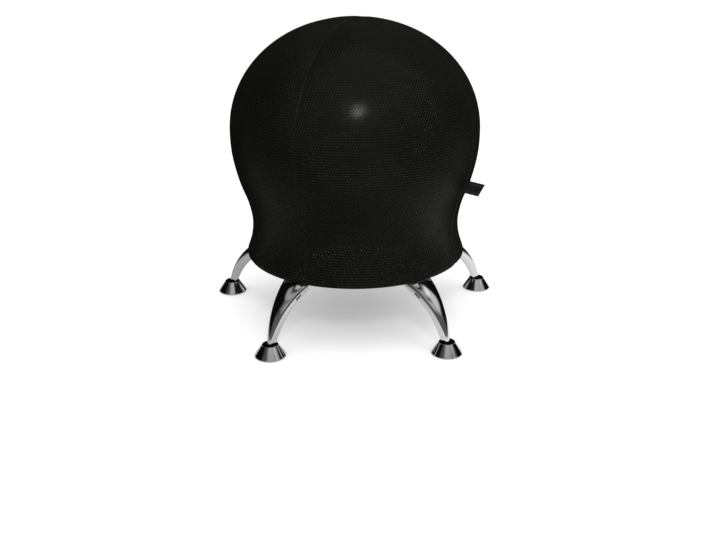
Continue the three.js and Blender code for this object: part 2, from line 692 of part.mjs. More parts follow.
function padGeometry() {
  const padR = BELL_BASE_R - BELL_WALL - GAP - GAP;
  const socketR = STUD_BALL_R + GAP;
  const bossR = socketR + SOCKET_WALL;
  const bossTop = ballCentreZ + SOCKET_ABOVE;
  const profile = [[0, 0], [padR - PAD_FLOOR / 4, 0], [padR, PAD_FLOOR / 4], [padR, PAD_FLOOR],
    [bossR, PAD_FLOOR], [bossR - PAD_FLOOR / 4, bossTop]];
  const lipTurn = THREE.MathUtils.radToDeg(Math.asin(SOCKET_ABOVE / socketR));
  for (let i = 0; i <= SOCKET_ARC_STEPS; i++) {
    const turn = lipTurn - (lipTurn + 90) * i / SOCKET_ARC_STEPS;
    profile.push([i === SOCKET_ARC_STEPS ? 0 : socketR * cos(turn), ballCentreZ + socketR * sin(turn)]);
  }
  return turned(profile, PAD_STEPS);
}

// The stud runs up the leg's own line from the centre of its ball.
function studGeometry() {
  const facet = Math.cos(Math.PI / 2 / SOCKET_ARC_STEPS / 2);
  const ballR = STUD_BALL_R * facet;
  const neckTurn = THREE.MathUtils.radToDeg(Math.acos(STUD_NECK_R / ballR));
  const profile = [];
  for (let i = 0; i <= STUD_ARC_STEPS; i++) {
    const turn = -90 + (neckTurn + 90) * i / STUD_ARC_STEPS;
    profile.push([i === 0 ? 0 : ballR * cos(turn), ballR * sin(turn)]);
  }
  profile.push([STUD_NECK_R, collarFrom], [STUD_COLLAR_R, collarFrom],
    [STUD_COLLAR_R, collarTo], [STUD_THREAD_R, collarTo], [STUD_THREAD_R, STUD_LENGTH],
    [0, STUD_LENGTH]);
  return onLegLine(turned(profile, STUD_STEPS));
}

// Moves a shape made about the upright axis to the foot of the leg, leaning as the leg does there.
function onLegLine(geometry) {
  return geometry.rotateY(-rad(90 - LEG_FOOT_TILT)).translate(FOOT_CIRCLE_R, 0, ballCentreZ);
}

function insertGeometry() {
  const flangeTop = legStart - GAP;
  const flangeFrom = flangeTop - INSERT_FLANGE_T;
  const flange = lofted([flangeFrom, flangeTop].map((s) => legRing(s, INSERT_FLANGE_INSET, LEG_BORE_STEPS)));
  const stops = [(flangeFrom + flangeTop) / 2, ...insertStops];
  const plug = lofted(stops.map((s) => legRing(s, LEG_WALL + GAP * 2, LEG_BORE_STEPS)));
  const bore = onLegLine(cylinder(STUD_THREAD_R + GAP, collarTo - OVERRUN, STUD_LENGTH + OVERRUN,
    STUD_STEPS));
  return cut(join(flange, plug), bore);
}

function addLegs() {
  const leg = legGeometry();
  const bolt = boltGeometry();
  const stud = studGeometry();
  const insert = insertGeometry();
  const bell = bellGeometry();
  const pad = padGeometry();
  legAngles.forEach((angle, i) => {
    const name = legNames[i] ?? `leg_${i + 1}`;
    const corner = new THREE.Group();
    corner.rotation.z = rad(angle - 90);
    seat.add(corner);
    add(corner, `leg_${name}`, leg, chrome);
    add(corner, `leg_insert_${name}`, insert, padPlastic);
    add(corner, `stud_${name}`, stud, zinc);
    ['a', 'b'].forEach((mark, k) => {
      const side = k * 2 - 1;
      add(corner, `bolt_${name}_${mark}`, bolt, zinc).position.set(boltCircleX, side * BOLT_SPACING / 2, 0);
    });
    add(corner, `bell_${name}`, bell, chrome).position.x = FOOT_CIRCLE_R;
    add(corner, `pad_${name}`, pad, padPlastic).position.x = FOOT_CIRCLE_R;
  });
}

// Zip round the floor panel, with its slider and pull

function addZip() {
  const tapeTop = HEM_Z + (COVER_T + ZIP_TAPE_T) / 2;
  const tapeFloor = tapeTop - ZIP_TAPE_T;
  const teethFloor = tapeFloor - ZIP_TEETH_T;
  const [tape, teeth] = [ZIP_TAPE_W / 2, ZIP_TEETH_W / 2];
  const profile = [[zipR - tape, tapeFloor], [zipR - teeth, tapeFloor], [zipR - teeth, teethFloor],
    [zipR + teeth, teethFloor], [zipR + teeth, tapeFloor], [zipR + tape, tapeFloor],
    [zipR + tape, tapeTop], [zipR - tape, tapeTop]];
  add(seat, 'zip_chain', turnedRing(profile), zipNylon);

  const station = new THREE.Group();
  station.rotation.z = rad(ZIP_REST_ANGLE - 90);
  seat.add(station);
  const channelTop = teethFloor - GAP;
  const sliderTop = HEM_Z - GAP;
  const sliderFloor = channelTop - SLIDER_FLOOR;
  const channelW = ZIP_TEETH_W + SLIDER_CLEAR * 2;
  const sliderW = channelW + SLIDER_SIDE * 2;
  const outline = roundedRectangle(-sliderW / 2, sliderW / 2, SLIDER_LENGTH, SLIDER_NOSE_R);
  const block = slab(outline, sliderFloor, sliderTop);
  const channel = new THREE.BoxGeometry(channelW, SLIDER_LENGTH + OVERRUN, sliderTop - channelTop + OVERRUN);
  channel.translate(0, 0, channelTop + (sliderTop - channelTop + OVERRUN) / 2);
  const barTop = sliderFloor - BRIDGE_DROP + BRIDGE_BAR;
  const arch = new THREE.BoxGeometry(BRIDGE_W, BRIDGE_SPAN, BRIDGE_DROP + GAP);
  arch.translate(0, 0, sliderFloor + GAP - (BRIDGE_DROP + GAP) / 2);
  const windowSpan = BRIDGE_SPAN - BRIDGE_BAR * 2;
  const window = new THREE.BoxGeometry(BRIDGE_W + OVERRUN, windowSpan, sliderFloor - barTop);
  window.translate(0, 0, (sliderFloor + barTop) / 2);
  const body = cut(block, channel);
  add(station, 'zip_slider', join(body, cut(arch, window)), zinc).position.x = zipR;

  const pivotZ = barTop + (sliderFloor - barTop) / 2;
  const blade = roundedRectangle(-PULL_LENGTH, PULL_BAR / 2, PULL_W, PULL_BAR / 2);
  blade.holes.push(rectangularHole(-PULL_BAR / 2 - PULL_HOLE_LENGTH, -PULL_BAR / 2, PULL_HOLE_W));
  blade.holes.push(circularHole(-PULL_LENGTH + PULL_W / 2, 0, PULL_TIP_HOLE_R));
  const pull = slab(blade, -PULL_T / 2, PULL_T / 2).rotateY(-Math.PI / 2).rotateZ(Math.PI / 2);
  add(station, 'zip_pull', pull, zinc).position.set(zipR, 0, pivotZ);
}

function rectangularHole(x0, x1, width) {
  const path = new THREE.Path();
  path.moveTo(x0, -width / 2);
  path.lineTo(x0, width / 2);
  path.lineTo(x1, width / 2);
  path.lineTo(x1, -width / 2);
  path.closePath();
  return path;
}

// A folded woven tag in the seam on the right, its root edge along the cover
function addTag() {
  const [lowZ, highZ] = [TAG_Z - TAG_H / 2, TAG_Z + TAG_H / 2];
  const [reach, drop] = [TAG_LENGTH * cos(TAG_DROOP), TAG_LENGTH * sin(TAG_DROOP)];
  const corners = coverSide.map(([, z]) => z).filter((z) => z > lowZ && z < highZ);
  const root = [highZ, ...corners, lowZ].map((z) => new THREE.Vector2(radiusAt(coverSide, z) + GAP, z));
  const end = [root.at(-1), root[0]].map((corner) => new THREE.Vector2(corner.x + reach, corner.y - drop));
  const shape = new THREE.Shape([...root, ...end]);
  const tag = slab(shape, -TAG_T / 2, TAG_T / 2).rotateX(Math.PI / 2);
  add(seat, 'side_tag', tag.rotateZ(rad(seamAngles[1] - 90)), tagWeave);
}

addCover();
addBall();
addValvePlug();
addDish();
addFrameRing();
addLegs();
addZip();
addTag();

export default chair;
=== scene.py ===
import functools
import math

import bmesh
import bpy
import numpy as np
from mathutils import Matrix, Vector


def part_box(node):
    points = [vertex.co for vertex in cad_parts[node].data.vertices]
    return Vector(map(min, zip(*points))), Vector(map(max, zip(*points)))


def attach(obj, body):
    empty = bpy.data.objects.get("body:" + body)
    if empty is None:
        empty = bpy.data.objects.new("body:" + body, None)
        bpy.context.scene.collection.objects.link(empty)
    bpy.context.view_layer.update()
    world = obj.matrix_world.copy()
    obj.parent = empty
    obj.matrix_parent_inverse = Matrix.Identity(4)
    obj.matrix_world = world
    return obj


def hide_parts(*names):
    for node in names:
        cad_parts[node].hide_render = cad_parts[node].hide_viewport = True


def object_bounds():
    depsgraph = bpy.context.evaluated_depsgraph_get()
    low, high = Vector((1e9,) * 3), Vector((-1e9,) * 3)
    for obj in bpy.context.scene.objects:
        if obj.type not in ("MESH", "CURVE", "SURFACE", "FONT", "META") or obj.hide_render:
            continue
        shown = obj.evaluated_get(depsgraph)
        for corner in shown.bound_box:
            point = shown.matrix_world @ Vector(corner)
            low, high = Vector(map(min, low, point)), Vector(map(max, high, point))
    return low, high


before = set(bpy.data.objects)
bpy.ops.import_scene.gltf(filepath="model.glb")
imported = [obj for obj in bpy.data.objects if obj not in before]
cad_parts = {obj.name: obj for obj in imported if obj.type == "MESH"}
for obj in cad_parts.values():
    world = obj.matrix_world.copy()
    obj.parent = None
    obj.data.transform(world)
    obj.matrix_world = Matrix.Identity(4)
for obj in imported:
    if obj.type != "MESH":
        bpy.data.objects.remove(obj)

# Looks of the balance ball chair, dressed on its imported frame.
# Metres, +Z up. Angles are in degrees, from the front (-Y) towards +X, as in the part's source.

CAD_LOW, CAD_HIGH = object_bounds()
MM = 0.001
GAP = 0.3 * MM
WELD_DISTANCE = 0.002 * MM
TURNED_SIDES = 96
AGAINST_NORMAL = -1
ALONG_NORMAL = 1
BOTH_WAYS = 0

# Cover, from the crown to the hem
PANEL_NAMES = ("front", "right", "rear", "left")
FIRST_SEAM_ANGLE = -27
EQUATOR_Z = 370 * MM
EQUATOR_R = 238.5 * MM
CROWN_FULLNESS = 2.04
CROWN_HOLE_R = 2 * MM
WAIST_UP = 54 * MM
WAIST_R = 201.3 * MM
SKIRT_R = 213.8 * MM
HEM_ROUND = 6 * MM
HEM_DROP = 4 * MM
HEM_BACK_R = 187 * MM
COVER_T = 1.7 * MM
FLANK_SHARES = (  # of the height and of the radius, from the waist up to the equator
    (0.13, 0.03),
    (0.295, 0.225),
    (0.516, 0.632),
    (0.766, 0.925),
)
SKIRT_SHARES = (0.5, 0.31)  # of the height and of the radius, between skirt and waist
FLANK_SOFTNESS = 3 * MM
SOFTNESS_TAIL = 4
CROWN_STEPS = 400
FLANK_STEPS = 60
HEM_STEPS = 16
FINE_POINTS = 2400
COVER_ROWS = 176
COVER_COLUMNS = 72
SEAM_CROWDING = 1.25  # above one, the columns stand closer at the seams
SEAM_DEPTH = 0.7 * MM
SEAM_REACH = 8 * MM
SEAM_FADE_REACH = SEAM_REACH * 3
PUCKER_DEPTH = 0.2 * MM
PUCKER_PITCH = 12 * MM
PUCKER_REACH = 15 * MM
CLOTH = "cloth"

# Knit of the cover
HOLE_PITCH = 5.5 * MM
HOLE_ROW = 4.7 * MM
HOLE_EDGE = (0.14, 0.46)  # in pitches from the middle of a hole
KNIT_RELIEF = 0.9 * MM
YARN_COLOUR = (0.0215, 0.0217, 0.0188, 1.0)
HOLE_COLOUR = (0.0065, 0.0065, 0.0057, 1.0)
SEAM_COLOUR = (0.0260, 0.0262, 0.0228, 1.0)
SEAM_SHADE = (0.5 * MM, 2.2 * MM)
TONE_SCALE = 9
TONE_DETAIL = 2
TONES = (0.85, 1.15)
MESH_ROUGHNESS = (0.21, 1.0)
MESH_FACING = (0.35, 0.85)
MESH_SPECULAR = 0.05

# Floor panel of the cover
VALVE_HOLE_R = 25 * MM
FLOOR_CLOTH_ROWS = 40
FLOOR_CLOTH_SIDES = 144

# Ball
BALL_LOW_FULLNESS = 2.2
BALL_STEPS = 60
BALL_OPEN_TOP = 0.002  # radians short of the pole
BALL_OPEN_FOOT = 0.02

# Legs
LEG_NAMES = ("front_left", "front_right", "side_right", "rear", "side_left")
FRONT_LEG_ANGLE = -36
LEG_FOOT_TILT = 77
LEG_TOP_TILT = 22
LEG_HANDLE_SHARE = 0.627
LEG_BEND_R = 50 * MM
LEG_FLAT = 12 * MM
LEG_FOOT_W = 14 * MM
LEG_FOOT_T = 14.5 * MM
LEG_TOP_W = 56 * MM
LEG_TOP_T = 26 * MM
LEG_END_W = 52 * MM
LEG_END_T = 19 * MM
LEG_WIDTH_GROWTH = 1.16
LEG_DEPTH_GROWTH = 1.6
LEG_WALL = 1.8 * MM
LEG_CORNER_SHARES = (0.6, 0.42)  # of half the depth, at the foot and at the top
LEG_CORNER_GROWTH = 0.5
LEG_FACE_TURN = 24
LEG_SIDE_TURN = 20
LEG_SIDE_LEANS = (12, 4)  # at the foot and at the top, so the outer face is the narrow one
LEG_CURVE_POINTS = 400
LEG_BEND_POINTS = 60
LEG_FLAT_POINTS = 12
LEG_RINGS = 72
LEG_SIDES = 96
LEG_CREASE = 50
SLOT_LENGTH = 14 * MM
SLOT_W = 3.2 * MM
SLOT_UP = 98 * MM
SLOT_CORNER_R = SLOT_W * 0.499
SLOT_CORNER_POINTS = 8
PLATE_LENGTH = 62 * MM
PLATE_W = 60 * MM
PLATE_T = 5 * MM
PLATE_EDGE = 0.8 * MM
PLATE_CORNER_R = 8 * MM
PLATE_CORNER_POINTS = 10
SQUARE_CREASE = 60  # of the plate and of the tool that cuts the vents
WELDED_CREASE = 40
LEG_END_PAST_PLATE = 29 * MM
LEG_TUBE_BELOW_PLATE_TOP = 1.5 * MM

# Glides
STUD_BALL_R = 6 * MM
STUD_NECK_LENGTH = 0.9 * MM
STUD_COLLAR_T = 2 * MM
INSERT_FLANGE_T = 1.5 * MM
BELL_WALL = 1.4 * MM
BELL_RIM_H = 2 * MM
BELL_RIM_STEP = 1 * MM
BELL_RIM_ROUND = 0.4 * MM
BELL_RIM_FLAT = 0.3 * MM
BELL_RIM_RISE = 0.1 * MM
BELL_TOP_R = 15 * MM
BELL_BULGE = 0.1 * MM
BELL_CONE_FROM_SHARE = 0.1
BELL_CONE_STEPS = 14
BELL_LIP_STEPS = 9
BELL_CREASE = 45
PAD_AXIS_R = 0.01 * MM
PAD_FLOOR = 2.7 * MM
PAD_EDGE_IN = 1 * MM
PAD_EDGE_UP = 0.9 * MM
PAD_FILLET = 1 * MM
PAD_LIP_IN = 0.7 * MM
PAD_CREASE = 40
SOCKET_WALL = 3.4 * MM
SOCKET_LOW_TURN = -89
SOCKET_STEPS = 16

# Zip
ZIP_TAPE_W = 7.4 * MM
ZIP_COIL_W = 4.2 * MM
ZIP_COIL_EDGE_W = ZIP_COIL_W * 1.2
ZIP_TURNS = 320.0
ZIP_TURN_EDGE = (-0.4, 0.6)

# Edges of the small parts that stay as they are
NODE_EDGE = 0.35 * MM
NODE_EDGE_SEGMENTS = 3
NODE_EDGE_ANGLE = 35

# Tag
TAG_H = 26.5 * MM
TAG_L = 29 * MM
TAG_T = 0.65 * MM
TAG_DROOP = 7
TAG_LEAN = 26.8
TAG_DROP = 13.4 * MM
TAG_ROOT_IN = 32.8 * MM
TAG_LOOP_SHARE = 0.65
TAG_FOLD_TURN = 75
TAG_FOLD_STEPS = 8
TAG_STEPS = 40
TAG_COLUMNS = 14
TAG_LINES = (0.13, 0.21, 0.79, 0.87)  # across the strip
TAG_LINE_EDGE = (0.0175, 0.0525)
TAG_RIBS = 70
TAG_RIB_HEIGHT = 0.35

# Tones and grains of the other materials
NOISE_ROUGHNESS = 0.55
NOISE_BAND = (0.3, 0.7)
CHROME_BAND = (0.3, 0.8)
WEAVE_BAND = (0.35, 0.65)
WEAVE_SCALE = 1800
CHROME_TONE = 0.78
STEEL_TONE = 0.011
PLASTIC_TONE = 0.014
ZINC_TONE = 0.42
VINYL_TONE = 0.025
ZIP_TONES = (0.006, 0.02)
TAG_TONES = (0.006, 0.011)
TAG_LINE_TONE = 0.045
STEEL_GRAIN = 0.2 * MM
FINE_GRAIN = 0.1 * MM
ZIP_RELIEF = 0.4 * MM
TAG_RELIEF = 0.3 * MM

# Camera and picture
PICTURE_W = 716
PICTURE_H = 540
FOCAL_PX = 922.2
SENSOR_W = 36
PRINCIPAL_COLUMN = 355.2
PRINCIPAL_ROW = 190
CAMERA_AWAY = 1.729
CAMERA_UP = 0.7682
CAMERA_PITCH = 16.873
CAMERA_TURN = 1.272
CAMERA_ROLL = -0.294

# Stage
SKY_LIGHT = 0.06
STUDIO_DARK = 0.004
STUDIO_CARDS = (  # turn from the front and rise, each from, to and softness, then strength
    ((-62, 78, 14), (-15, 36, 6), 0.1),
    ((-52, 44, 12), (39, 62, 6), 0.15),
    ((-25, 52, 12), (35, 52, 4), 0.3),
    ((50, 104, 9), (32, 70, 8), 0.62),
    ((-112, 112, 9), (60, 73, 5), 0.35),
    ((-200, 200, 5), (80, 100, 3), 0.5),
)
FLOOR_HALF = 6
FLOOR_TONE = 0.55
FLOOR_ROUGHNESS = 0.9
FLOOR_GLOW = 0.97
# Painted shadow under the chair: how far the ambient occlusion reaches, and how much of the floor's glow
# it leaves
SHADE_REACH = 0.25
SHADE_LEFT = 0.35
# Painted pool of light on the floor for glossy rays: its strength from left to right, where it rises
# across, and where it fades away from the chair
FLOOR_SHINE = (0.24, 0.7)
FLOOR_SHINE_X = (-0.5, 0.55)
FLOOR_SHINE_FADE = (0.5, 1.0)
SEAT_AIM = (0, 0, EQUATOR_Z)
KEY_AIM = (0, -0.22, 0.445)
LAMPS = (  # name, place, aim from the seat's axis, size and power
    ("key", (0.08, -1.55, 1.37), KEY_AIM, 0.35, 9),
    ("fill", (1.5, -1.2, 1.5), SEAT_AIM, 1.0, 4),
    ("top", (0.3, 0.0, 2.4), SEAT_AIM, 1.6, 11),
    ("back", (0.6, 1.9, 1.4), SEAT_AIM, 1.2, 2.5),
    ("glint", (0.05, -1.55, 1.37), SEAT_AIM, 0.25, 26),
)


def sind(degrees):
    return math.sin(math.radians(degrees))


def cosd(degrees):
    return math.cos(math.radians(degrees))


def middle(node):
    low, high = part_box(node)
    return (low + high) / 2


def half_width(node):
    low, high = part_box(node)
    return (high.x - low.x) / 2


SEAT_AXIS = middle("ball")
SEAT_AXIS.z = 0
SEAT_TOP = CAD_HIGH.z
HEM_Z = min(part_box("cover_panel_front")[0].z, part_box("cover_panel_rear")[0].z)
SEAM_ANGLES = [FIRST_SEAM_ANGLE + 360 / len(PANEL_NAMES) * i for i in range(len(PANEL_NAMES))]
LEG_ANGLES = [FRONT_LEG_ANGLE + 360 / len(LEG_NAMES) * i for i in range(len(LEG_NAMES))]
FOOT_CIRCLE_R = (middle("pad_front_right") - SEAT_AXIS).xy.length
BALL_CENTRE_Z = PAD_FLOOR + GAP + STUD_BALL_R
PLATE_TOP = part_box("leg_front_left")[1].z
PLATE_IN_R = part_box("leg_rear")[0].y - SEAT_AXIS.y
PLATE_OUT_R = PLATE_IN_R + PLATE_LENGTH
LEG_END_R = PLATE_IN_R + LEG_END_PAST_PLATE
LEG_END_Z = PLATE_TOP - LEG_TUBE_BELOW_PLATE_TOP - LEG_END_T / 2
ZIP_OUT_R = half_width("zip_chain")
ZIP_R = ZIP_OUT_R - ZIP_TAPE_W / 2


# Meshes

def mesh_object(name, points, faces, crease=None):
    """A smooth-shaded mesh object; edges sharper than crease degrees stay crisp."""
    mesh = bpy.data.meshes.new(name)
    mesh.from_pydata([tuple(p) for p in points], [], faces)
    mesh.validate()
    mesh.shade_smooth()
    if crease is not None:
        mesh.set_sharp_from_angle(angle=math.radians(crease))
    obj = bpy.data.objects.new(name, mesh)
    bpy.context.scene.collection.objects.link(obj)
    return obj


def ring_faces(rings, sides, closed=False):
    """Faces between rings of points, each ring joined to the next."""
    faces = []
    for i in range(rings if closed else rings - 1):
        here = i * sides
        there = (i + 1) % rings * sides
        for j in range(sides):
            k = (j + 1) % sides
            faces.append((here + j, here + k, there + k, there + j))
    return faces


def loft(name, rings, crease, closed=False):
    """Rings of equally many points; closed joins the last ring to the first, else both ends are capped."""
    sides = len(rings[0])
    points = [p for ring in rings for p in ring]
    faces = ring_faces(len(rings), sides, closed)
    if not closed:
        faces.append(tuple(reversed(range(sides))))
        faces.append(tuple(range(len(points) - sides, len(points))))
    obj = mesh_object(name, points, faces, crease)
    faces_out(obj)
    return obj


def faces_out(obj):
    """Welds points that meet and turns every face outwards."""
    work = bmesh.new()
    work.from_mesh(obj.data)
    bmesh.ops.remove_doubles(work, verts=work.verts, dist=WELD_DISTANCE)
    bmesh.ops.recalc_face_normals(work, faces=work.faces)
    work.to_mesh(obj.data)
    work.free()


def turned(name, profile, crease, closed=False):
    """A profile of (radius, height) turned about the Z axis."""
    turns = np.linspace(0, 2 * math.pi, TURNED_SIDES, endpoint=False)
    rings = [[(r * math.cos(t), r * math.sin(t), z) for t in turns] for r, z in profile]
    return loft(name, rings, crease, closed)


def lay_uv(obj, layer, places):
    """A UV layer that gives each face corner its point's place."""
    uv = obj.data.uv_layers.new(name=layer)
    for corner in obj.data.loops:
        uv.data[corner.index].uv = places[corner.vertex_index]


def bevel(obj, width):
    modifier = obj.modifiers.new("edge", "BEVEL")
    modifier.width = width
    modifier.segments = NODE_EDGE_SEGMENTS
    modifier.limit_method = "ANGLE"
    modifier.angle_limit = math.radians(NODE_EDGE_ANGLE)


def thicken(obj, thickness, offset):
    modifier = obj.modifiers.new("thickness", "SOLIDIFY")
    modifier.thickness = thickness
    modifier.offset = offset


def apply_modifiers(obj):
    view = bpy.context.evaluated_depsgraph_get()
    shaped = bpy.data.meshes.new_from_object(obj.evaluated_get(view))
    obj.modifiers.clear()
    obj.data = shaped


def take_in(obj, other):
    """Adds the other object's mesh to the object's own and removes the other."""
    work = bmesh.new()
    work.from_mesh(obj.data)
    work.from_mesh(other.data)
    work.to_mesh(obj.data)
    work.free()
    bpy.data.objects.remove(other)
    obj.data.shade_smooth()
    obj.data.set_sharp_from_angle(angle=math.radians(WELDED_CREASE))


# Lines

def between(low, high, share):
    return low + (high - low) * share


def oval_point(radius, height, fullness, turn):
    return radius * math.cos(turn) ** (2 / fullness), height * math.sin(turn) ** (2 / fullness)


def bezier(steer, t):
    a, b, c, d = steer
    return a * (1 - t) ** 3 + 3 * b * t * (1 - t) ** 2 + 3 * c * t ** 2 * (1 - t) + d * t ** 3


def through(points, steps):
    """A smooth curve through points, with the first and last only steering it."""
    curve = []
    for p0, p1, p2, p3 in zip(points, points[1:], points[2:], points[3:]):
        p0, p1, p2, p3 = (np.array(p) for p in (p0, p1, p2, p3))
        for t in np.linspace(0, 1, steps, endpoint=False):
            bend = 2 * p0 - 5 * p1 + 4 * p2 - p3
            twist = 3 * (p1 - p2) + p3 - p0
            curve.append((2 * p1 + (p2 - p0) * t + bend * t ** 2 + twist * t ** 3) / 2)
    return curve


def lengths_along(line):
    steps = np.linalg.norm(np.diff(line, axis=0), axis=1)
    return np.concatenate([[0], np.cumsum(steps)])


def evenly(line, count):
    """The line with count points, evenly spaced along it, and its length."""
    line = np.array(line)
    along = lengths_along(line)
    stops = np.linspace(0, along[-1], count)
    return np.stack([np.interp(stops, along, line[:, k]) for k in range(2)], 1), along[-1]


def softened(line, length, reach):
    """The evenly spaced line with its corners rounded over about reach, its ends kept."""
    spacing = length / (len(line) - 1)
    half = int(SOFTNESS_TAIL * reach / spacing) + 1
    weights = np.exp(-0.5 * (np.arange(-half, half + 1) * spacing / reach) ** 2)
    weights /= weights.sum()
    ends = (2 * line[:1] - line[half:0:-1], 2 * line[-1:] - line[-2:-half - 2:-1])
    padded = np.concatenate([ends[0], line, ends[1]])
    return np.stack([np.convolve(padded[:, k], weights, "valid") for k in range(2)], 1)


def rounded_outline(x0, x1, width, radius, steps):
    """A rectangle from x0 to x1 with round corners, centred on the X axis."""
    corners = ((x1 - radius, width / 2 - radius, 0), (x0 + radius, width / 2 - radius, 90),
               (x0 + radius, radius - width / 2, 180), (x1 - radius, radius - width / 2, 270))
    points = []
    for x, y, start in corners:
        for turn in np.linspace(start, start + 90, steps):
            points.append((x + radius * cosd(turn), y + radius * sind(turn)))
    return points


# Material parts

def value_or_link(tree, socket, value):
    if isinstance(value, bpy.types.NodeSocket):
        tree.links.new(value, socket)
    else:
        socket.default_value = value


def calc(tree, operation, *values):
    node = tree.nodes.new("ShaderNodeMath")
    node.operation = operation
    for socket, value in zip(node.inputs, values):
        value_or_link(tree, socket, value)
    return node.outputs[0]


def smooth_range(tree, value, low, high, to_low=0.0, to_high=1.0):
    node = tree.nodes.new("ShaderNodeMapRange")
    node.interpolation_type = "SMOOTHSTEP"
    value_or_link(tree, node.inputs["Value"], value)
    node.inputs["From Min"].default_value = low
    node.inputs["From Max"].default_value = high
    node.inputs["To Min"].default_value = to_low
    node.inputs["To Max"].default_value = to_high
    return node.outputs["Result"]


def mixed(tree, factor, a, b):
    node = tree.nodes.new("ShaderNodeMix")
    node.data_type = "RGBA"
    value_or_link(tree, node.inputs["Factor"], factor)
    value_or_link(tree, node.inputs["A"], a)
    value_or_link(tree, node.inputs["B"], b)
    return node.outputs["Result"]


def grey(value):
    return (value, value, value, 1)


def distance(tree, x, y):
    squares = [calc(tree, "POWER", side, 2.0) for side in (x, y)]
    return calc(tree, "SQRT", calc(tree, "ADD", *squares))


def parts_of(tree, vector):
    parts = tree.nodes.new("ShaderNodeSeparateXYZ")
    tree.links.new(vector, parts.inputs[0])
    return parts.outputs["X"], parts.outputs["Y"], parts.outputs["Z"]


def coordinates(tree, kind="Object"):
    return tree.nodes.new("ShaderNodeTexCoord").outputs[kind]


def uv_parts(tree, layer):
    node = tree.nodes.new("ShaderNodeUVMap")
    node.uv_map = layer
    return parts_of(tree, node.outputs["UV"])[:2]


def noise(tree, scale, detail=3):
    node = tree.nodes.new("ShaderNodeTexNoise")
    node.inputs["Scale"].default_value = scale
    node.inputs["Detail"].default_value = detail
    node.inputs["Roughness"].default_value = NOISE_ROUGHNESS
    tree.links.new(coordinates(tree), node.inputs["Vector"])
    return node.outputs["Fac"]


def bumped(tree, height, strength, depth):
    node = tree.nodes.new("ShaderNodeBump")
    node.inputs["Strength"].default_value = strength
    node.inputs["Distance"].default_value = depth
    tree.links.new(height, node.inputs["Height"])
    return node.outputs["Normal"]


def wandering(scale, low, high, band=NOISE_BAND):
    """A value that wanders from low to high over the surface."""
    return lambda tree: smooth_range(tree, noise(tree, scale), *band, low, high)


def grained(scale, strength, depth):
    """A fine uneven relief."""
    return lambda tree: bumped(tree, noise(tree, scale), strength, depth)


def surface(name, base, roughness, metallic=0.0, normal=None, **uniform):
    """A material from a colour or a function for base, functions for roughness and normal,
    and uniform values for named sockets."""
    material = bpy.data.materials.new(name)
    material.use_nodes = True
    tree = material.node_tree
    shader = tree.nodes["Principled BSDF"]
    shader.inputs["Metallic"].default_value = metallic
    for socket, value in uniform.items():
        shader.inputs[socket.replace("_", " ")].default_value = value
    value_or_link(tree, shader.inputs["Base Color"], base(tree) if callable(base) else base)
    tree.links.new(roughness(tree), shader.inputs["Roughness"])
    if normal:
        tree.links.new(normal(tree), shader.inputs["Normal"])
    return material


# Materials

def lattice_distance(tree, u, v, shift):
    """How far a place is from the nearest hole of every second row, in hole pitches."""
    across = calc(tree, "ADD", calc(tree, "DIVIDE", u, HOLE_PITCH), shift)
    along = calc(tree, "ADD", calc(tree, "DIVIDE", v, HOLE_ROW * 2), shift)
    across = calc(tree, "SUBTRACT", across, calc(tree, "ROUND", across))
    along = calc(tree, "SUBTRACT", along, calc(tree, "ROUND", along))
    along = calc(tree, "MULTIPLY", along, HOLE_ROW * 2 / HOLE_PITCH)
    return distance(tree, across, along)


def knit_height(tree):
    """One on the yarn, zero in the holes of the knit, which stand in staggered rows."""
    u, v = uv_parts(tree, "knit")
    rows = [lattice_distance(tree, u, v, shift) for shift in (0.0, 0.5)]
    return smooth_range(tree, calc(tree, "MINIMUM", *rows), *HOLE_EDGE)


def knit_colour(tree):
    tone = smooth_range(tree, noise(tree, TONE_SCALE, TONE_DETAIL), *NOISE_BAND, *TONES)
    yarn = mixed(tree, knit_height(tree), HOLE_COLOUR, YARN_COLOUR)
    cloth = mixed(tree, calc(tree, "SUBTRACT", 1.0, tone), yarn, grey(0.0))
    to_seam = uv_parts(tree, "edge")[0]
    return mixed(tree, smooth_range(tree, to_seam, *SEAM_SHADE), SEAM_COLOUR, cloth)


def knit_roughness(tree):
    """Smooth yarn seen straight on; seen along the cloth, the mesh shades itself."""
    facing = tree.nodes.new("ShaderNodeLayerWeight").outputs["Facing"]
    return smooth_range(tree, facing, *MESH_FACING, *MESH_ROUGHNESS)


def knit_normal(tree):
    return bumped(tree, knit_height(tree), 1.0, KNIT_RELIEF)


def cover_mesh():
    return surface("cover mesh", knit_colour, knit_roughness, normal=knit_normal,
                   Specular_IOR_Level=MESH_SPECULAR)


def chrome():
    roughness = wandering(scale=60, low=0.05, high=0.12, band=CHROME_BAND)
    return surface("chrome", grey(CHROME_TONE), roughness, metallic=1.0)


def black_steel():
    roughness = wandering(scale=40, low=0.35, high=0.5)
    grain = grained(scale=500, strength=0.15, depth=STEEL_GRAIN)
    return surface("black steel", grey(STEEL_TONE), roughness, normal=grain)


def black_plastic():
    roughness = wandering(scale=80, low=0.4, high=0.6)
    grain = grained(scale=1200, strength=0.2, depth=FINE_GRAIN)
    return surface("black plastic", grey(PLASTIC_TONE), roughness, normal=grain)


def zinc():
    roughness = wandering(scale=150, low=0.25, high=0.45)
    return surface("zinc", grey(ZINC_TONE), roughness, metallic=1.0)


def ball_vinyl():
    roughness = wandering(scale=30, low=0.3, high=0.45)
    grain = grained(scale=700, strength=0.1, depth=FINE_GRAIN)
    return surface("ball vinyl", grey(VINYL_TONE), roughness, normal=grain)


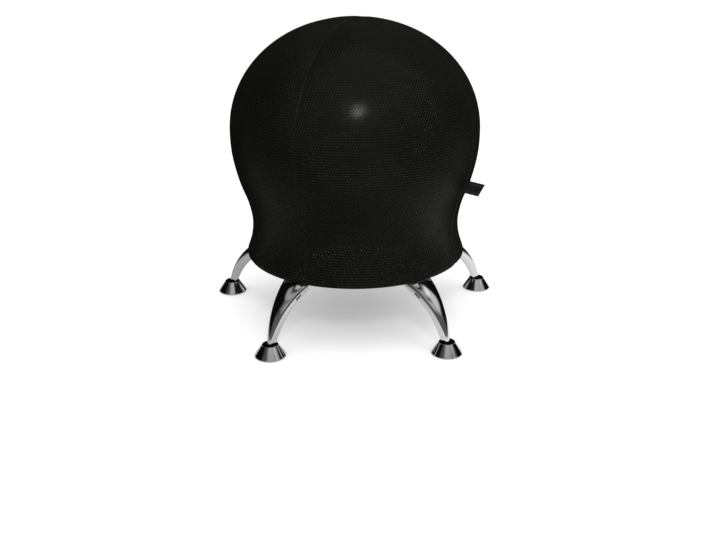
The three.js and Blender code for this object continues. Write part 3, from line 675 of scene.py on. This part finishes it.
def zip_coil(tree):
    """The coil's turns, round the middle of the zip's tape."""
    place_x, place_y, _ = parts_of(tree, coordinates(tree))
    x = calc(tree, "SUBTRACT", place_x, SEAT_AXIS.x)
    y = calc(tree, "SUBTRACT", place_y, SEAT_AXIS.y)
    turns = calc(tree, "SINE", calc(tree, "MULTIPLY", calc(tree, "ARCTAN2", y, x), ZIP_TURNS))
    off_middle = calc(tree, "ABSOLUTE", calc(tree, "SUBTRACT", distance(tree, x, y), ZIP_R))
    on_coil = smooth_range(tree, off_middle, ZIP_COIL_W / 2, ZIP_COIL_EDGE_W / 2, 1.0, 0.0)
    return calc(tree, "MULTIPLY", on_coil, smooth_range(tree, turns, *ZIP_TURN_EDGE))


def zip_colour(tree):
    tape, coil = ZIP_TONES
    return mixed(tree, zip_coil(tree), grey(tape), grey(coil))


def zip_normal(tree):
    return bumped(tree, zip_coil(tree), 1.0, ZIP_RELIEF)


def zip_nylon():
    return surface("zip nylon", zip_colour, wandering(scale=400, low=0.4, high=0.6), normal=zip_normal)


def tag_lines(tree, across):
    lines = 0.0
    for place in TAG_LINES:
        away = calc(tree, "ABSOLUTE", calc(tree, "SUBTRACT", across, place))
        lines = calc(tree, "ADD", smooth_range(tree, away, *TAG_LINE_EDGE, 1.0, 0.0), lines)
    return lines


def tag_colour(tree):
    dark, light = TAG_TONES
    weave = smooth_range(tree, noise(tree, WEAVE_SCALE), *WEAVE_BAND)
    cloth = mixed(tree, weave, grey(dark), grey(light))
    lines = tag_lines(tree, uv_parts(tree, "tag")[1])
    return mixed(tree, lines, cloth, grey(TAG_LINE_TONE))


def tag_normal(tree):
    """Fine cross ribs, and the raised lines woven along both edges."""
    along, across = uv_parts(tree, "tag")
    ribs = calc(tree, "SINE", calc(tree, "MULTIPLY", along, 2 * math.pi * TAG_RIBS))
    height = calc(tree, "ADD", calc(tree, "MULTIPLY", ribs, TAG_RIB_HEIGHT), tag_lines(tree, across))
    return bumped(tree, height, 0.5, TAG_RELIEF)


def tag_weave():
    return surface("tag weave", tag_colour, wandering(scale=400, low=0.6, high=0.8), normal=tag_normal)


MATERIALS = {
    "cover_mesh": cover_mesh(),
    "chrome": chrome(),
    "black_steel": black_steel(),
    "black_plastic": black_plastic(),
    "zinc": zinc(),
    "ball_vinyl": ball_vinyl(),
    "zip_nylon": zip_nylon(),
    "tag_weave": tag_weave(),
}


def placed(obj, body, slot, node):
    """Gives a finished piece the material of its slot and its body, and hides the node that it stands for.
    """
    obj.data.materials.clear()
    obj.data.materials.append(MATERIALS[slot])
    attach(obj, body)
    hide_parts(node)


# Cover

def crown_line():
    hole_turn = math.acos((CROWN_HOLE_R / EQUATOR_R) ** (CROWN_FULLNESS / 2))
    line = []
    for turn in np.linspace(hole_turn, 0, CROWN_STEPS, endpoint=False):
        r, h = oval_point(EQUATOR_R, SEAT_TOP - EQUATOR_Z, CROWN_FULLNESS, turn)
        line.append((r, EQUATOR_Z + h))
    return line


def flank_line(skirt_z):
    """From the equator in to the waist and out to the skirt."""
    waist_z = HEM_Z + WAIST_UP
    route = [(EQUATOR_R, EQUATOR_Z)]
    for up, out in reversed(FLANK_SHARES):
        route.append((between(WAIST_R, EQUATOR_R, out), between(waist_z, EQUATOR_Z, up)))
    route.append((WAIST_R, waist_z))
    up, out = SKIRT_SHARES
    route.append((between(WAIST_R, SKIRT_R, out), between(skirt_z, waist_z, up)))
    route.append((SKIRT_R, skirt_z))
    before = (route[1][0], 2 * EQUATOR_Z - route[1][1])
    after = (SKIRT_R, skirt_z - HEM_ROUND)
    return through([before, *route, after], FLANK_STEPS)


def cover_outline(edge_r):
    """The cover's outer surface as (radius, height), from the crown down and in under the hem."""
    hem_z = HEM_Z - HEM_DROP
    line = crown_line() + flank_line(hem_z + HEM_ROUND)
    for turn in np.linspace(0, 90, HEM_STEPS):
        line.append((SKIRT_R - HEM_ROUND * (1 - cosd(turn)), hem_z + HEM_ROUND * (1 - sind(turn))))
    line += [(HEM_BACK_R, HEM_Z), (edge_r, HEM_Z)]
    fine, length = evenly(line, FINE_POINTS)
    return evenly(softened(fine, length, FLANK_SOFTNESS), COVER_ROWS)


def gore_points(outline, start, end):
    """A gore's grid of points, drawn in at its seams, and each point's places on the cloth."""
    profile, length = outline
    points, knit, edge = [], [], []
    way = np.gradient(profile, axis=0)
    way /= np.linalg.norm(way, axis=1)[:, None]
    for i, (r, z) in enumerate(profile):
        v = length * i / (len(profile) - 1)
        half = math.radians(end - start) / 2 * r
        for share in np.linspace(-1, 1, COVER_COLUMNS + 1):
            share = math.copysign(1 - (1 - abs(share)) ** SEAM_CROWDING, share)
            u = share * half
            to_seam = half - abs(u)
            fade = min(1, half / SEAM_FADE_REACH)
            draw = SEAM_DEPTH * math.exp(-(to_seam / SEAM_REACH) ** 2) * fade
            ripple = 0.5 - 0.5 * math.cos(2 * math.pi * v / PUCKER_PITCH)
            draw += PUCKER_DEPTH * ripple * math.exp(-to_seam / PUCKER_REACH) * fade
            angle = math.radians((start + end) / 2 - 90) + share * (half - GAP / 2) / r
            out_r = r + way[i][1] * draw
            out_z = z - way[i][0] * draw
            points.append(SEAT_AXIS + Vector((out_r * math.cos(angle), out_r * math.sin(angle), out_z)))
            knit.append((u, v))
            edge.append((to_seam, v))
    return points, knit, edge


def add_gore(name, outline, start, end):
    points, knit, edge = gore_points(outline, start, end)
    columns = COVER_COLUMNS + 1
    faces = []
    for i in range(COVER_ROWS - 1):
        for j in range(COVER_COLUMNS):
            a = i * columns + j
            faces.append((a, a + columns, a + columns + 1, a + 1))
    gore = mesh_object(f"gore_{name}", points, faces)
    lay_uv(gore, "knit", knit)
    lay_uv(gore, "edge", edge)
    thicken(gore, COVER_T, AGAINST_NORMAL)
    placed(gore, "base", "cover_mesh", f"cover_panel_{name}")
    return gore


def add_cover(outline):
    """Four gores, kept out of the chrome's reflections and lit by the glint, and the floor panel."""
    cloth = bpy.data.collections.new(CLOTH)
    for name, angle in zip(PANEL_NAMES, SEAM_ANGLES):
        gore = add_gore(name, outline, angle, angle + 360 / len(PANEL_NAMES))
        gore.visible_glossy = False
        cloth.objects.link(gore)
    add_floor_cloth()


def add_floor_cloth():
    """The round panel inside the zip, with a hole for the valve."""
    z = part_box("cover_floor_panel")[0].z
    outer = half_width("cover_floor_panel")
    rows = np.linspace(VALVE_HOLE_R, outer, FLOOR_CLOTH_ROWS)
    turns = np.linspace(0, 2 * math.pi, FLOOR_CLOTH_SIDES, endpoint=False)
    points = [SEAT_AXIS + Vector((r * math.cos(t), r * math.sin(t), z)) for r in rows for t in turns]
    panel = mesh_object("floor_cloth", points, ring_faces(FLOOR_CLOTH_ROWS, FLOOR_CLOTH_SIDES))
    places = [(point - SEAT_AXIS).xy for point in points]
    lay_uv(panel, "knit", places)
    lay_uv(panel, "edge", [(outer - place.length, place.x) for place in places])
    thicken(panel, COVER_T, ALONG_NORMAL)
    placed(panel, "base", "cover_mesh", "cover_floor_panel")


# Ball

def add_ball(outline):
    """The ball, which fills the cover: an oval that the cover's flank draws in below."""
    low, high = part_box("ball")
    radius = half_width("ball")
    flank = [(z, r) for r, z in reversed(outline[0]) if HEM_Z + WAIST_UP < z < EQUATOR_Z]
    flank_z, flank_r = np.array(flank).T
    profile = []
    for turn in np.linspace(math.pi / 2 - BALL_OPEN_TOP, 0, BALL_STEPS, endpoint=False):
        r, h = oval_point(radius, high.z - EQUATOR_Z, CROWN_FULLNESS, turn)
        profile.append((r, EQUATOR_Z + h))
    for turn in np.linspace(0, math.pi / 2 - BALL_OPEN_FOOT, BALL_STEPS):
        r, h = oval_point(radius, EQUATOR_Z - low.z, BALL_LOW_FULLNESS, turn)
        room = np.interp(EQUATOR_Z - h, flank_z, flank_r) - (EQUATOR_R - radius)
        profile.append((min(r, room), EQUATOR_Z - h))
    ball = turned("inflated_ball", profile, crease=None)
    ball.data.transform(Matrix.Translation(SEAT_AXIS))
    ball.visible_glossy = False
    placed(ball, "base", "ball_vinyl", "ball")


# Legs

@functools.cache
def leg_line():
    """The leg's middle line as (outwards, height) points, from the glide's ball inwards."""
    start_at = STUD_BALL_R + STUD_NECK_LENGTH + STUD_COLLAR_T + GAP + INSERT_FLANGE_T + GAP
    foot_way = np.array((-cosd(LEG_FOOT_TILT), sind(LEG_FOOT_TILT)))
    top_way = np.array((-cosd(LEG_TOP_TILT), sind(LEG_TOP_TILT)))
    start = np.array((FOOT_CIRCLE_R, BALL_CENTRE_Z)) + foot_way * start_at
    centre = np.array((LEG_END_R + LEG_FLAT, LEG_END_Z - LEG_BEND_R))
    bend_start = centre + LEG_BEND_R * np.array((sind(LEG_TOP_TILT), cosd(LEG_TOP_TILT)))
    chord = bend_start - start
    turn = sind(LEG_FOOT_TILT - LEG_TOP_TILT)
    foot_handle = LEG_HANDLE_SHARE * (chord[0] * top_way[1] - chord[1] * top_way[0]) / turn
    top_handle = LEG_HANDLE_SHARE * (foot_way[0] * chord[1] - foot_way[1] * chord[0]) / turn
    steer = (start, start + foot_way * foot_handle, bend_start - top_way * top_handle, bend_start)
    line = [bezier(steer, t) for t in np.linspace(0, 1, LEG_CURVE_POINTS)]
    for turn in np.linspace(90 - LEG_TOP_TILT, 90, LEG_BEND_POINTS)[1:]:
        line.append(centre + LEG_BEND_R * np.array((cosd(turn), sind(turn))))
    for share in np.linspace(0, 1, LEG_FLAT_POINTS)[1:]:
        line.append(np.array((between(centre[0], LEG_END_R, share), LEG_END_Z)))
    return np.array(line)


def leg_station(stop):
    """The middle, the way along, the width and the depth at a distance along the tube."""
    line = leg_line()
    along = lengths_along(line)
    curve_end = along[LEG_CURVE_POINTS - 1]
    way = np.gradient(line, axis=0)
    x, z = (np.interp(stop, along, line[:, k]) for k in range(2))
    way_x, way_z = (np.interp(stop, along, way[:, k]) for k in range(2))
    up = min(stop / curve_end, 1)
    past = max((stop - curve_end) / (along[-1] - curve_end), 0)
    width = between(LEG_FOOT_W, LEG_TOP_W, up ** LEG_WIDTH_GROWTH)
    width += (LEG_END_W - LEG_TOP_W) * past
    depth = between(LEG_FOOT_T, LEG_TOP_T, 1 - (1 - up) ** LEG_DEPTH_GROWTH)
    depth += (LEG_END_T - LEG_TOP_T) * past
    return Vector((x, 0, z)), Vector((way_x, 0, way_z)).normalized(), width, depth


def leg_section(half_w, half_d, up, inset):
    """Crowned faces, flatter sides and rounded corners, stepped by the turn of their outward direction."""
    wide = max(half_w, half_d)
    corner_r = half_d * between(*LEG_CORNER_SHARES, up ** LEG_CORNER_GROWTH)
    spread = np.array(((sind(LEG_FACE_TURN), 1 - cosd(LEG_SIDE_TURN)),
                       (1 - cosd(LEG_FACE_TURN), sind(LEG_SIDE_TURN))))
    face_more, side_more = np.linalg.solve(spread, (wide - corner_r, half_d - corner_r))
    narrowing = math.tan(math.radians(between(*LEG_SIDE_LEANS, up))) / half_w
    points = []
    for turn in np.linspace(0, 360, LEG_SIDES, endpoint=False):
        s = sind(turn)
        c = cosd(turn)
        from_face = math.degrees(math.atan2(abs(s), abs(c)))
        if from_face < LEG_FACE_TURN:
            across = face_more * s
            deep = half_d - corner_r - face_more * (1 - abs(c))
        elif from_face > 90 - LEG_SIDE_TURN:
            across = wide - corner_r - side_more * (1 - abs(s))
            deep = side_more * abs(c)
        else:
            across = face_more * sind(LEG_FACE_TURN)
            deep = side_more * sind(LEG_SIDE_TURN)
        across = math.copysign(abs(across), s) + (corner_r - inset) * s
        deep = math.copysign(deep, c) + (corner_r - inset) * c
        points.append((across * half_w / wide * (1 - narrowing * deep), deep))
    return points


def leg_rings(inset):
    """The leg's sections, square to its middle line, from the foot to the inner end."""
    end = lengths_along(leg_line())[-1]
    rings = []
    for stop in np.linspace(0, end - inset, LEG_RINGS):
        centre, way, width, depth = leg_station(stop)
        out = Vector((way.z, 0, -way.x))
        rings.append([centre + out * deep + Vector((0, across, 0))
                      for across, deep in leg_section(width / 2, depth / 2, stop / end, inset)])
    return rings


def make_leg():
    """One leg along +X, a tube open at the foot and closed at its inner end, with its plate."""
    outside = leg_rings(0)
    inside = leg_rings(LEG_WALL)
    ends = [[sum(ring, Vector()) / LEG_SIDES] * LEG_SIDES for ring in (outside[-1], inside[-1])]
    leg = loft("chromed_leg", [*reversed(inside), *outside, *ends], LEG_CREASE, closed=True)
    cut_slots(leg)
    take_in(leg, leg_plate())
    return leg


def cut_slots(leg):
    """The vent through both rounded sides of the tube."""
    centre, way, width, _ = leg_station(SLOT_UP)
    out = Vector((way.z, 0, -way.x))
    outline = rounded_outline(-SLOT_LENGTH / 2, SLOT_LENGTH / 2, SLOT_W, SLOT_CORNER_R, SLOT_CORNER_POINTS)
    rings = [[centre + way * along + out * deep + Vector((0, side * width, 0)) for along, deep in outline]
             for side in (-1, 1)]
    cutter = loft("slot_cutter", rings, SQUARE_CREASE)
    modifier = leg.modifiers.new("slots", "BOOLEAN")
    modifier.operation = "DIFFERENCE"
    modifier.solver = "EXACT"
    modifier.object = cutter
    apply_modifiers(leg)
    bpy.data.objects.remove(cutter)


def leg_plate():
    bottom = PLATE_TOP - PLATE_T
    levels = (
        (bottom, PLATE_EDGE),
        (bottom + PLATE_EDGE, 0),
        (PLATE_TOP - PLATE_EDGE, 0),
        (PLATE_TOP, PLATE_EDGE),
    )
    rings = []
    for z, inset in levels:
        outline = rounded_outline(PLATE_IN_R + inset, PLATE_OUT_R - inset, PLATE_W - 2 * inset,
                                  PLATE_CORNER_R, PLATE_CORNER_POINTS)
        rings.append([(x, y, z) for x, y in outline])
    return loft("plate", rings, SQUARE_CREASE)


def add_legs():
    leg = make_leg()
    for name, angle in zip(LEG_NAMES, LEG_ANGLES):
        own = bpy.data.objects.new(f"chromed_leg_{name}", leg.data.copy())
        bpy.context.scene.collection.objects.link(own)
        turn = Matrix.Rotation(math.radians(angle - 90), 4, "Z")
        own.data.transform(Matrix.Translation(SEAT_AXIS) @ turn)
        placed(own, "base", "chrome", f"leg_{name}")
        add_bell(name)
        add_pad(name)
    bpy.data.objects.remove(leg)


# Glides

def add_bell(name):
    low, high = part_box(f"bell_{name}")
    base_r = half_width(f"bell_{name}")
    rim_top = low.z + BELL_RIM_H
    cone_r = base_r - BELL_RIM_STEP
    lip = BELL_WALL / 2
    profile = [
        (base_r - BELL_WALL, low.z),
        (base_r - BELL_RIM_FLAT, low.z),
        (base_r, low.z + BELL_RIM_ROUND),
        (base_r, rim_top - BELL_RIM_ROUND),
        (base_r - BELL_RIM_ROUND, rim_top + BELL_RIM_RISE),
        (cone_r, rim_top + BELL_RIM_STEP),
    ]
    for share in np.linspace(BELL_CONE_FROM_SHARE, 1, BELL_CONE_STEPS):
        bulge = BELL_BULGE * math.sin(math.pi * share)
        z = between(rim_top + BELL_RIM_STEP, high.z - lip, share)
        profile.append((between(cone_r, BELL_TOP_R, share) + bulge, z))
    for turn in np.linspace(0, 180, BELL_LIP_STEPS):
        profile.append((BELL_TOP_R - lip + lip * cosd(turn), high.z - lip + lip * sind(turn)))
    profile.append((cone_r - BELL_WALL * 2, rim_top + BELL_RIM_STEP))
    profile.append((base_r - BELL_WALL, rim_top))
    bell = turned(f"bell_cup_{name}", profile, BELL_CREASE, closed=True)
    set_on_foot(bell, name)
    placed(bell, f"foot_{name}", "chrome", f"bell_{name}")


def add_pad(name):
    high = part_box(f"pad_{name}")[1]
    radius = half_width(f"pad_{name}")
    socket = STUD_BALL_R + GAP
    boss = socket + SOCKET_WALL
    profile = [
        (PAD_AXIS_R, 0),
        (radius - PAD_EDGE_IN, 0),
        (radius, PAD_EDGE_UP),
        (radius, PAD_FLOOR),
        (boss + PAD_FILLET, PAD_FLOOR),
        (boss, PAD_FLOOR + PAD_FILLET),
        (boss - PAD_LIP_IN, high.z),
    ]
    lip_turn = math.degrees(math.asin((high.z - BALL_CENTRE_Z) / socket))
    for turn in np.linspace(lip_turn, SOCKET_LOW_TURN, SOCKET_STEPS):
        profile.append((socket * cosd(turn), BALL_CENTRE_Z + socket * sind(turn)))
    pad = turned(f"glide_pad_{name}", profile, PAD_CREASE)
    set_on_foot(pad, name)
    placed(pad, f"foot_{name}", "black_plastic", f"pad_{name}")


def set_on_foot(obj, name):
    centre = middle(f"bell_{name}")
    obj.data.transform(Matrix.Translation((centre.x, centre.y, 0)))


# Tag

def tag_path():
    """Along the strip and off its middle: out, round the fold and back."""
    loop_r = TAG_T * TAG_LOOP_SHARE
    fold = TAG_L - loop_r
    path = [(s, loop_r) for s in np.linspace(0, fold, TAG_STEPS)]
    for turn in np.linspace(TAG_FOLD_TURN, -TAG_FOLD_TURN, TAG_FOLD_STEPS):
        path.append((fold + loop_r * cosd(turn), loop_r * sind(turn)))
    path += [(s, -loop_r) for s in np.linspace(fold, 0, TAG_STEPS)]
    return path


def add_tag():
    """A woven strip folded at its outer end, sewn into the seam on the right."""
    low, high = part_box("side_tag")
    root_z = high.z - TAG_DROP
    side = Vector((cosd(SEAM_ANGLES[1] - 90), sind(SEAM_ANGLES[1] - 90), 0))
    normal = Vector((-side.y, side.x, 0))
    root_r = (Vector((high.x, low.y, 0)) - SEAT_AXIS).xy.length - TAG_ROOT_IN
    path = tag_path()
    points, places, faces = [], [], []
    for i, (s, off) in enumerate(path):
        for j, t in enumerate(np.linspace(-0.5, 0.5, TAG_COLUMNS)):
            r = root_r + s * cosd(TAG_DROOP) + t * TAG_H * sind(TAG_LEAN)
            z = root_z + t * TAG_H * cosd(TAG_LEAN) - s * sind(TAG_DROOP)
            points.append(SEAT_AXIS + side * r + normal * off + Vector((0, 0, z)))
            places.append((i / (len(path) - 1), j / (TAG_COLUMNS - 1)))
    for i in range(len(path) - 1):
        for j in range(TAG_COLUMNS - 1):
            a = i * TAG_COLUMNS + j
            faces.append((a, a + 1, a + TAG_COLUMNS + 1, a + TAG_COLUMNS))
    tag = mesh_object("woven_tag", points, faces)
    lay_uv(tag, "tag", places)
    thicken(tag, TAG_T, BOTH_WAYS)
    placed(tag, "base", "tag_weave", "side_tag")


# Materials on the nodes that stay

def node_slot(name):
    if name == "frame_ring":
        return "black_steel"
    if name == "zip_chain":
        return "zip_nylon"
    if name.startswith(("bolt", "stud", "zip")):
        return "zinc"
    return "black_plastic"


def dress_nodes():
    for name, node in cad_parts.items():
        if node.hide_render:
            continue
        for place in node.material_slots:
            place.material = MATERIALS[node_slot(name)]
        if name != "zip_chain":
            bevel(node, NODE_EDGE)


# Stage

def ray_kinds(tree):
    """One for rays that look straight or through glass, and one for glossy rays."""
    rays = tree.nodes.new("ShaderNodeLightPath")
    seen = calc(tree, "MAXIMUM", rays.outputs["Is Camera Ray"], rays.outputs["Is Transmission Ray"])
    return seen, rays.outputs["Is Glossy Ray"]


def floor_shine(tree):
    """A painted pool of light on the floor that only glossy rays see: brighter on the right, and only near
    the chair.
    """
    x, y, _ = parts_of(tree, coordinates(tree))
    across = smooth_range(tree, x, *FLOOR_SHINE_X, *FLOOR_SHINE)
    fade = smooth_range(tree, distance(tree, x, y), *FLOOR_SHINE_FADE, 1.0, 0.0)
    return calc(tree, "MULTIPLY", across, fade)


def add_stage():
    corners = [(-FLOOR_HALF, -FLOOR_HALF, 0), (FLOOR_HALF, -FLOOR_HALF, 0),
               (FLOOR_HALF, FLOOR_HALF, 0), (-FLOOR_HALF, FLOOR_HALF, 0)]
    floor = mesh_object("floor", corners, [(0, 1, 2, 3)])
    material = bpy.data.materials.new("floor")
    material.use_nodes = True
    tree = material.node_tree
    shader = tree.nodes["Principled BSDF"]
    shader.inputs["Base Color"].default_value = grey(FLOOR_TONE)
    shader.inputs["Roughness"].default_value = FLOOR_ROUGHNESS
    shader.inputs["Specular IOR Level"].default_value = 0
    shader.inputs["Emission Color"].default_value = grey(1)
    seen, glossy = ray_kinds(tree)
    shine = calc(tree, "MULTIPLY", glossy, floor_shine(tree))
    # Painted shadow: the floor's glow is darker where ambient occlusion finds the chair close above it
    shade = tree.nodes.new("ShaderNodeAmbientOcclusion")
    shade.inputs["Distance"].default_value = SHADE_REACH
    glow = smooth_range(tree, shade.outputs["AO"], 0.0, 1.0, FLOOR_GLOW * SHADE_LEFT, FLOOR_GLOW)
    strength = calc(tree, "MULTIPLY_ADD", seen, glow, shine)
    tree.links.new(strength, shader.inputs["Emission Strength"])
    floor.data.materials.append(material)


def window(tree, value, low, high, softness):
    opened = smooth_range(tree, value, low - softness, low + softness)
    shut = smooth_range(tree, value, high - softness, high + softness, 1.0, 0.0)
    return calc(tree, "MULTIPLY", opened, shut)


def studio_cards(tree):
    """The softboxes and cards round the chair, as glossy rays see them by their direction."""
    x, y, z = parts_of(tree, coordinates(tree, "Generated"))
    turn = calc(tree, "DEGREES", calc(tree, "ARCTAN2", x, calc(tree, "MULTIPLY", y, -1.0)))
    rise = calc(tree, "DEGREES", calc(tree, "ARCSINE", z))
    light = STUDIO_DARK
    for turn_window, rise_window, strength in STUDIO_CARDS:
        card = calc(tree, "MULTIPLY", window(tree, turn, *turn_window), window(tree, rise, *rise_window))
        light = calc(tree, "MULTIPLY_ADD", card, strength, light)
    return light


def add_world():
    """White to the camera, a weak plain sky for the cloth, and softboxes for glossy rays."""
    world = bpy.data.worlds.new("studio")
    bpy.context.scene.world = world
    world.use_nodes = True
    tree = world.node_tree
    seen, glossy = ray_kinds(tree)
    shown = calc(tree, "MULTIPLY", glossy, studio_cards(tree))
    plain = calc(tree, "MULTIPLY", calc(tree, "SUBTRACT", 1.0, glossy), SKY_LIGHT)
    strength = calc(tree, "MAXIMUM", calc(tree, "ADD", shown, plain), seen)
    background = tree.nodes["Background"]
    background.inputs["Color"].default_value = grey(1)
    tree.links.new(strength, background.inputs["Strength"])


def area_light(name, place, target, size, power):
    light = bpy.data.lights.new(name, "AREA")
    light.shape = "DISK"
    light.size = size
    light.energy = power
    obj = bpy.data.objects.new(name, light)
    obj.location = place
    obj.rotation_euler = (Vector(place) - target).to_track_quat("Z", "Y").to_euler()
    obj.visible_glossy = False
    bpy.context.scene.collection.objects.link(obj)


def add_lights():
    for name, place, aim, size, power in LAMPS:
        area_light(name, place, SEAT_AXIS + Vector(aim), size, power)
    glint = bpy.data.objects["glint"]
    glint.visible_glossy = True
    glint.visible_diffuse = False
    glint.light_linking.receiver_collection = bpy.data.collections[CLOTH]


def add_camera():
    camera = bpy.data.cameras.new("camera")
    camera.sensor_fit = "HORIZONTAL"
    camera.sensor_width = SENSOR_W
    camera.lens = FOCAL_PX / PICTURE_W * SENSOR_W
    camera.shift_x = (PICTURE_W / 2 - PRINCIPAL_COLUMN) / PICTURE_W
    camera.shift_y = (PRINCIPAL_ROW - PICTURE_H / 2) / PICTURE_W
    obj = bpy.data.objects.new("camera", camera)
    turn = Matrix.Rotation(math.radians(-CAMERA_TURN), 4, "Z")
    tilt = Matrix.Rotation(math.radians(90 - CAMERA_PITCH), 4, "X")
    roll = Matrix.Rotation(math.radians(CAMERA_ROLL), 4, "Z")
    aside = -CAMERA_AWAY * sind(CAMERA_TURN)
    back = -CAMERA_AWAY * cosd(CAMERA_TURN)
    place = SEAT_AXIS + Vector((aside, back, CAMERA_UP))
    obj.matrix_world = Matrix.Translation(place) @ turn @ tilt @ roll
    bpy.context.scene.collection.objects.link(obj)
    bpy.context.scene.camera = obj
    bpy.context.scene.view_settings.view_transform = "Standard"


add_camera()
add_stage()
add_world()
cover_line = cover_outline(ZIP_OUT_R + GAP)
add_cover(cover_line)
add_ball(cover_line)
add_legs()
add_tag()
dress_nodes()
add_lights()
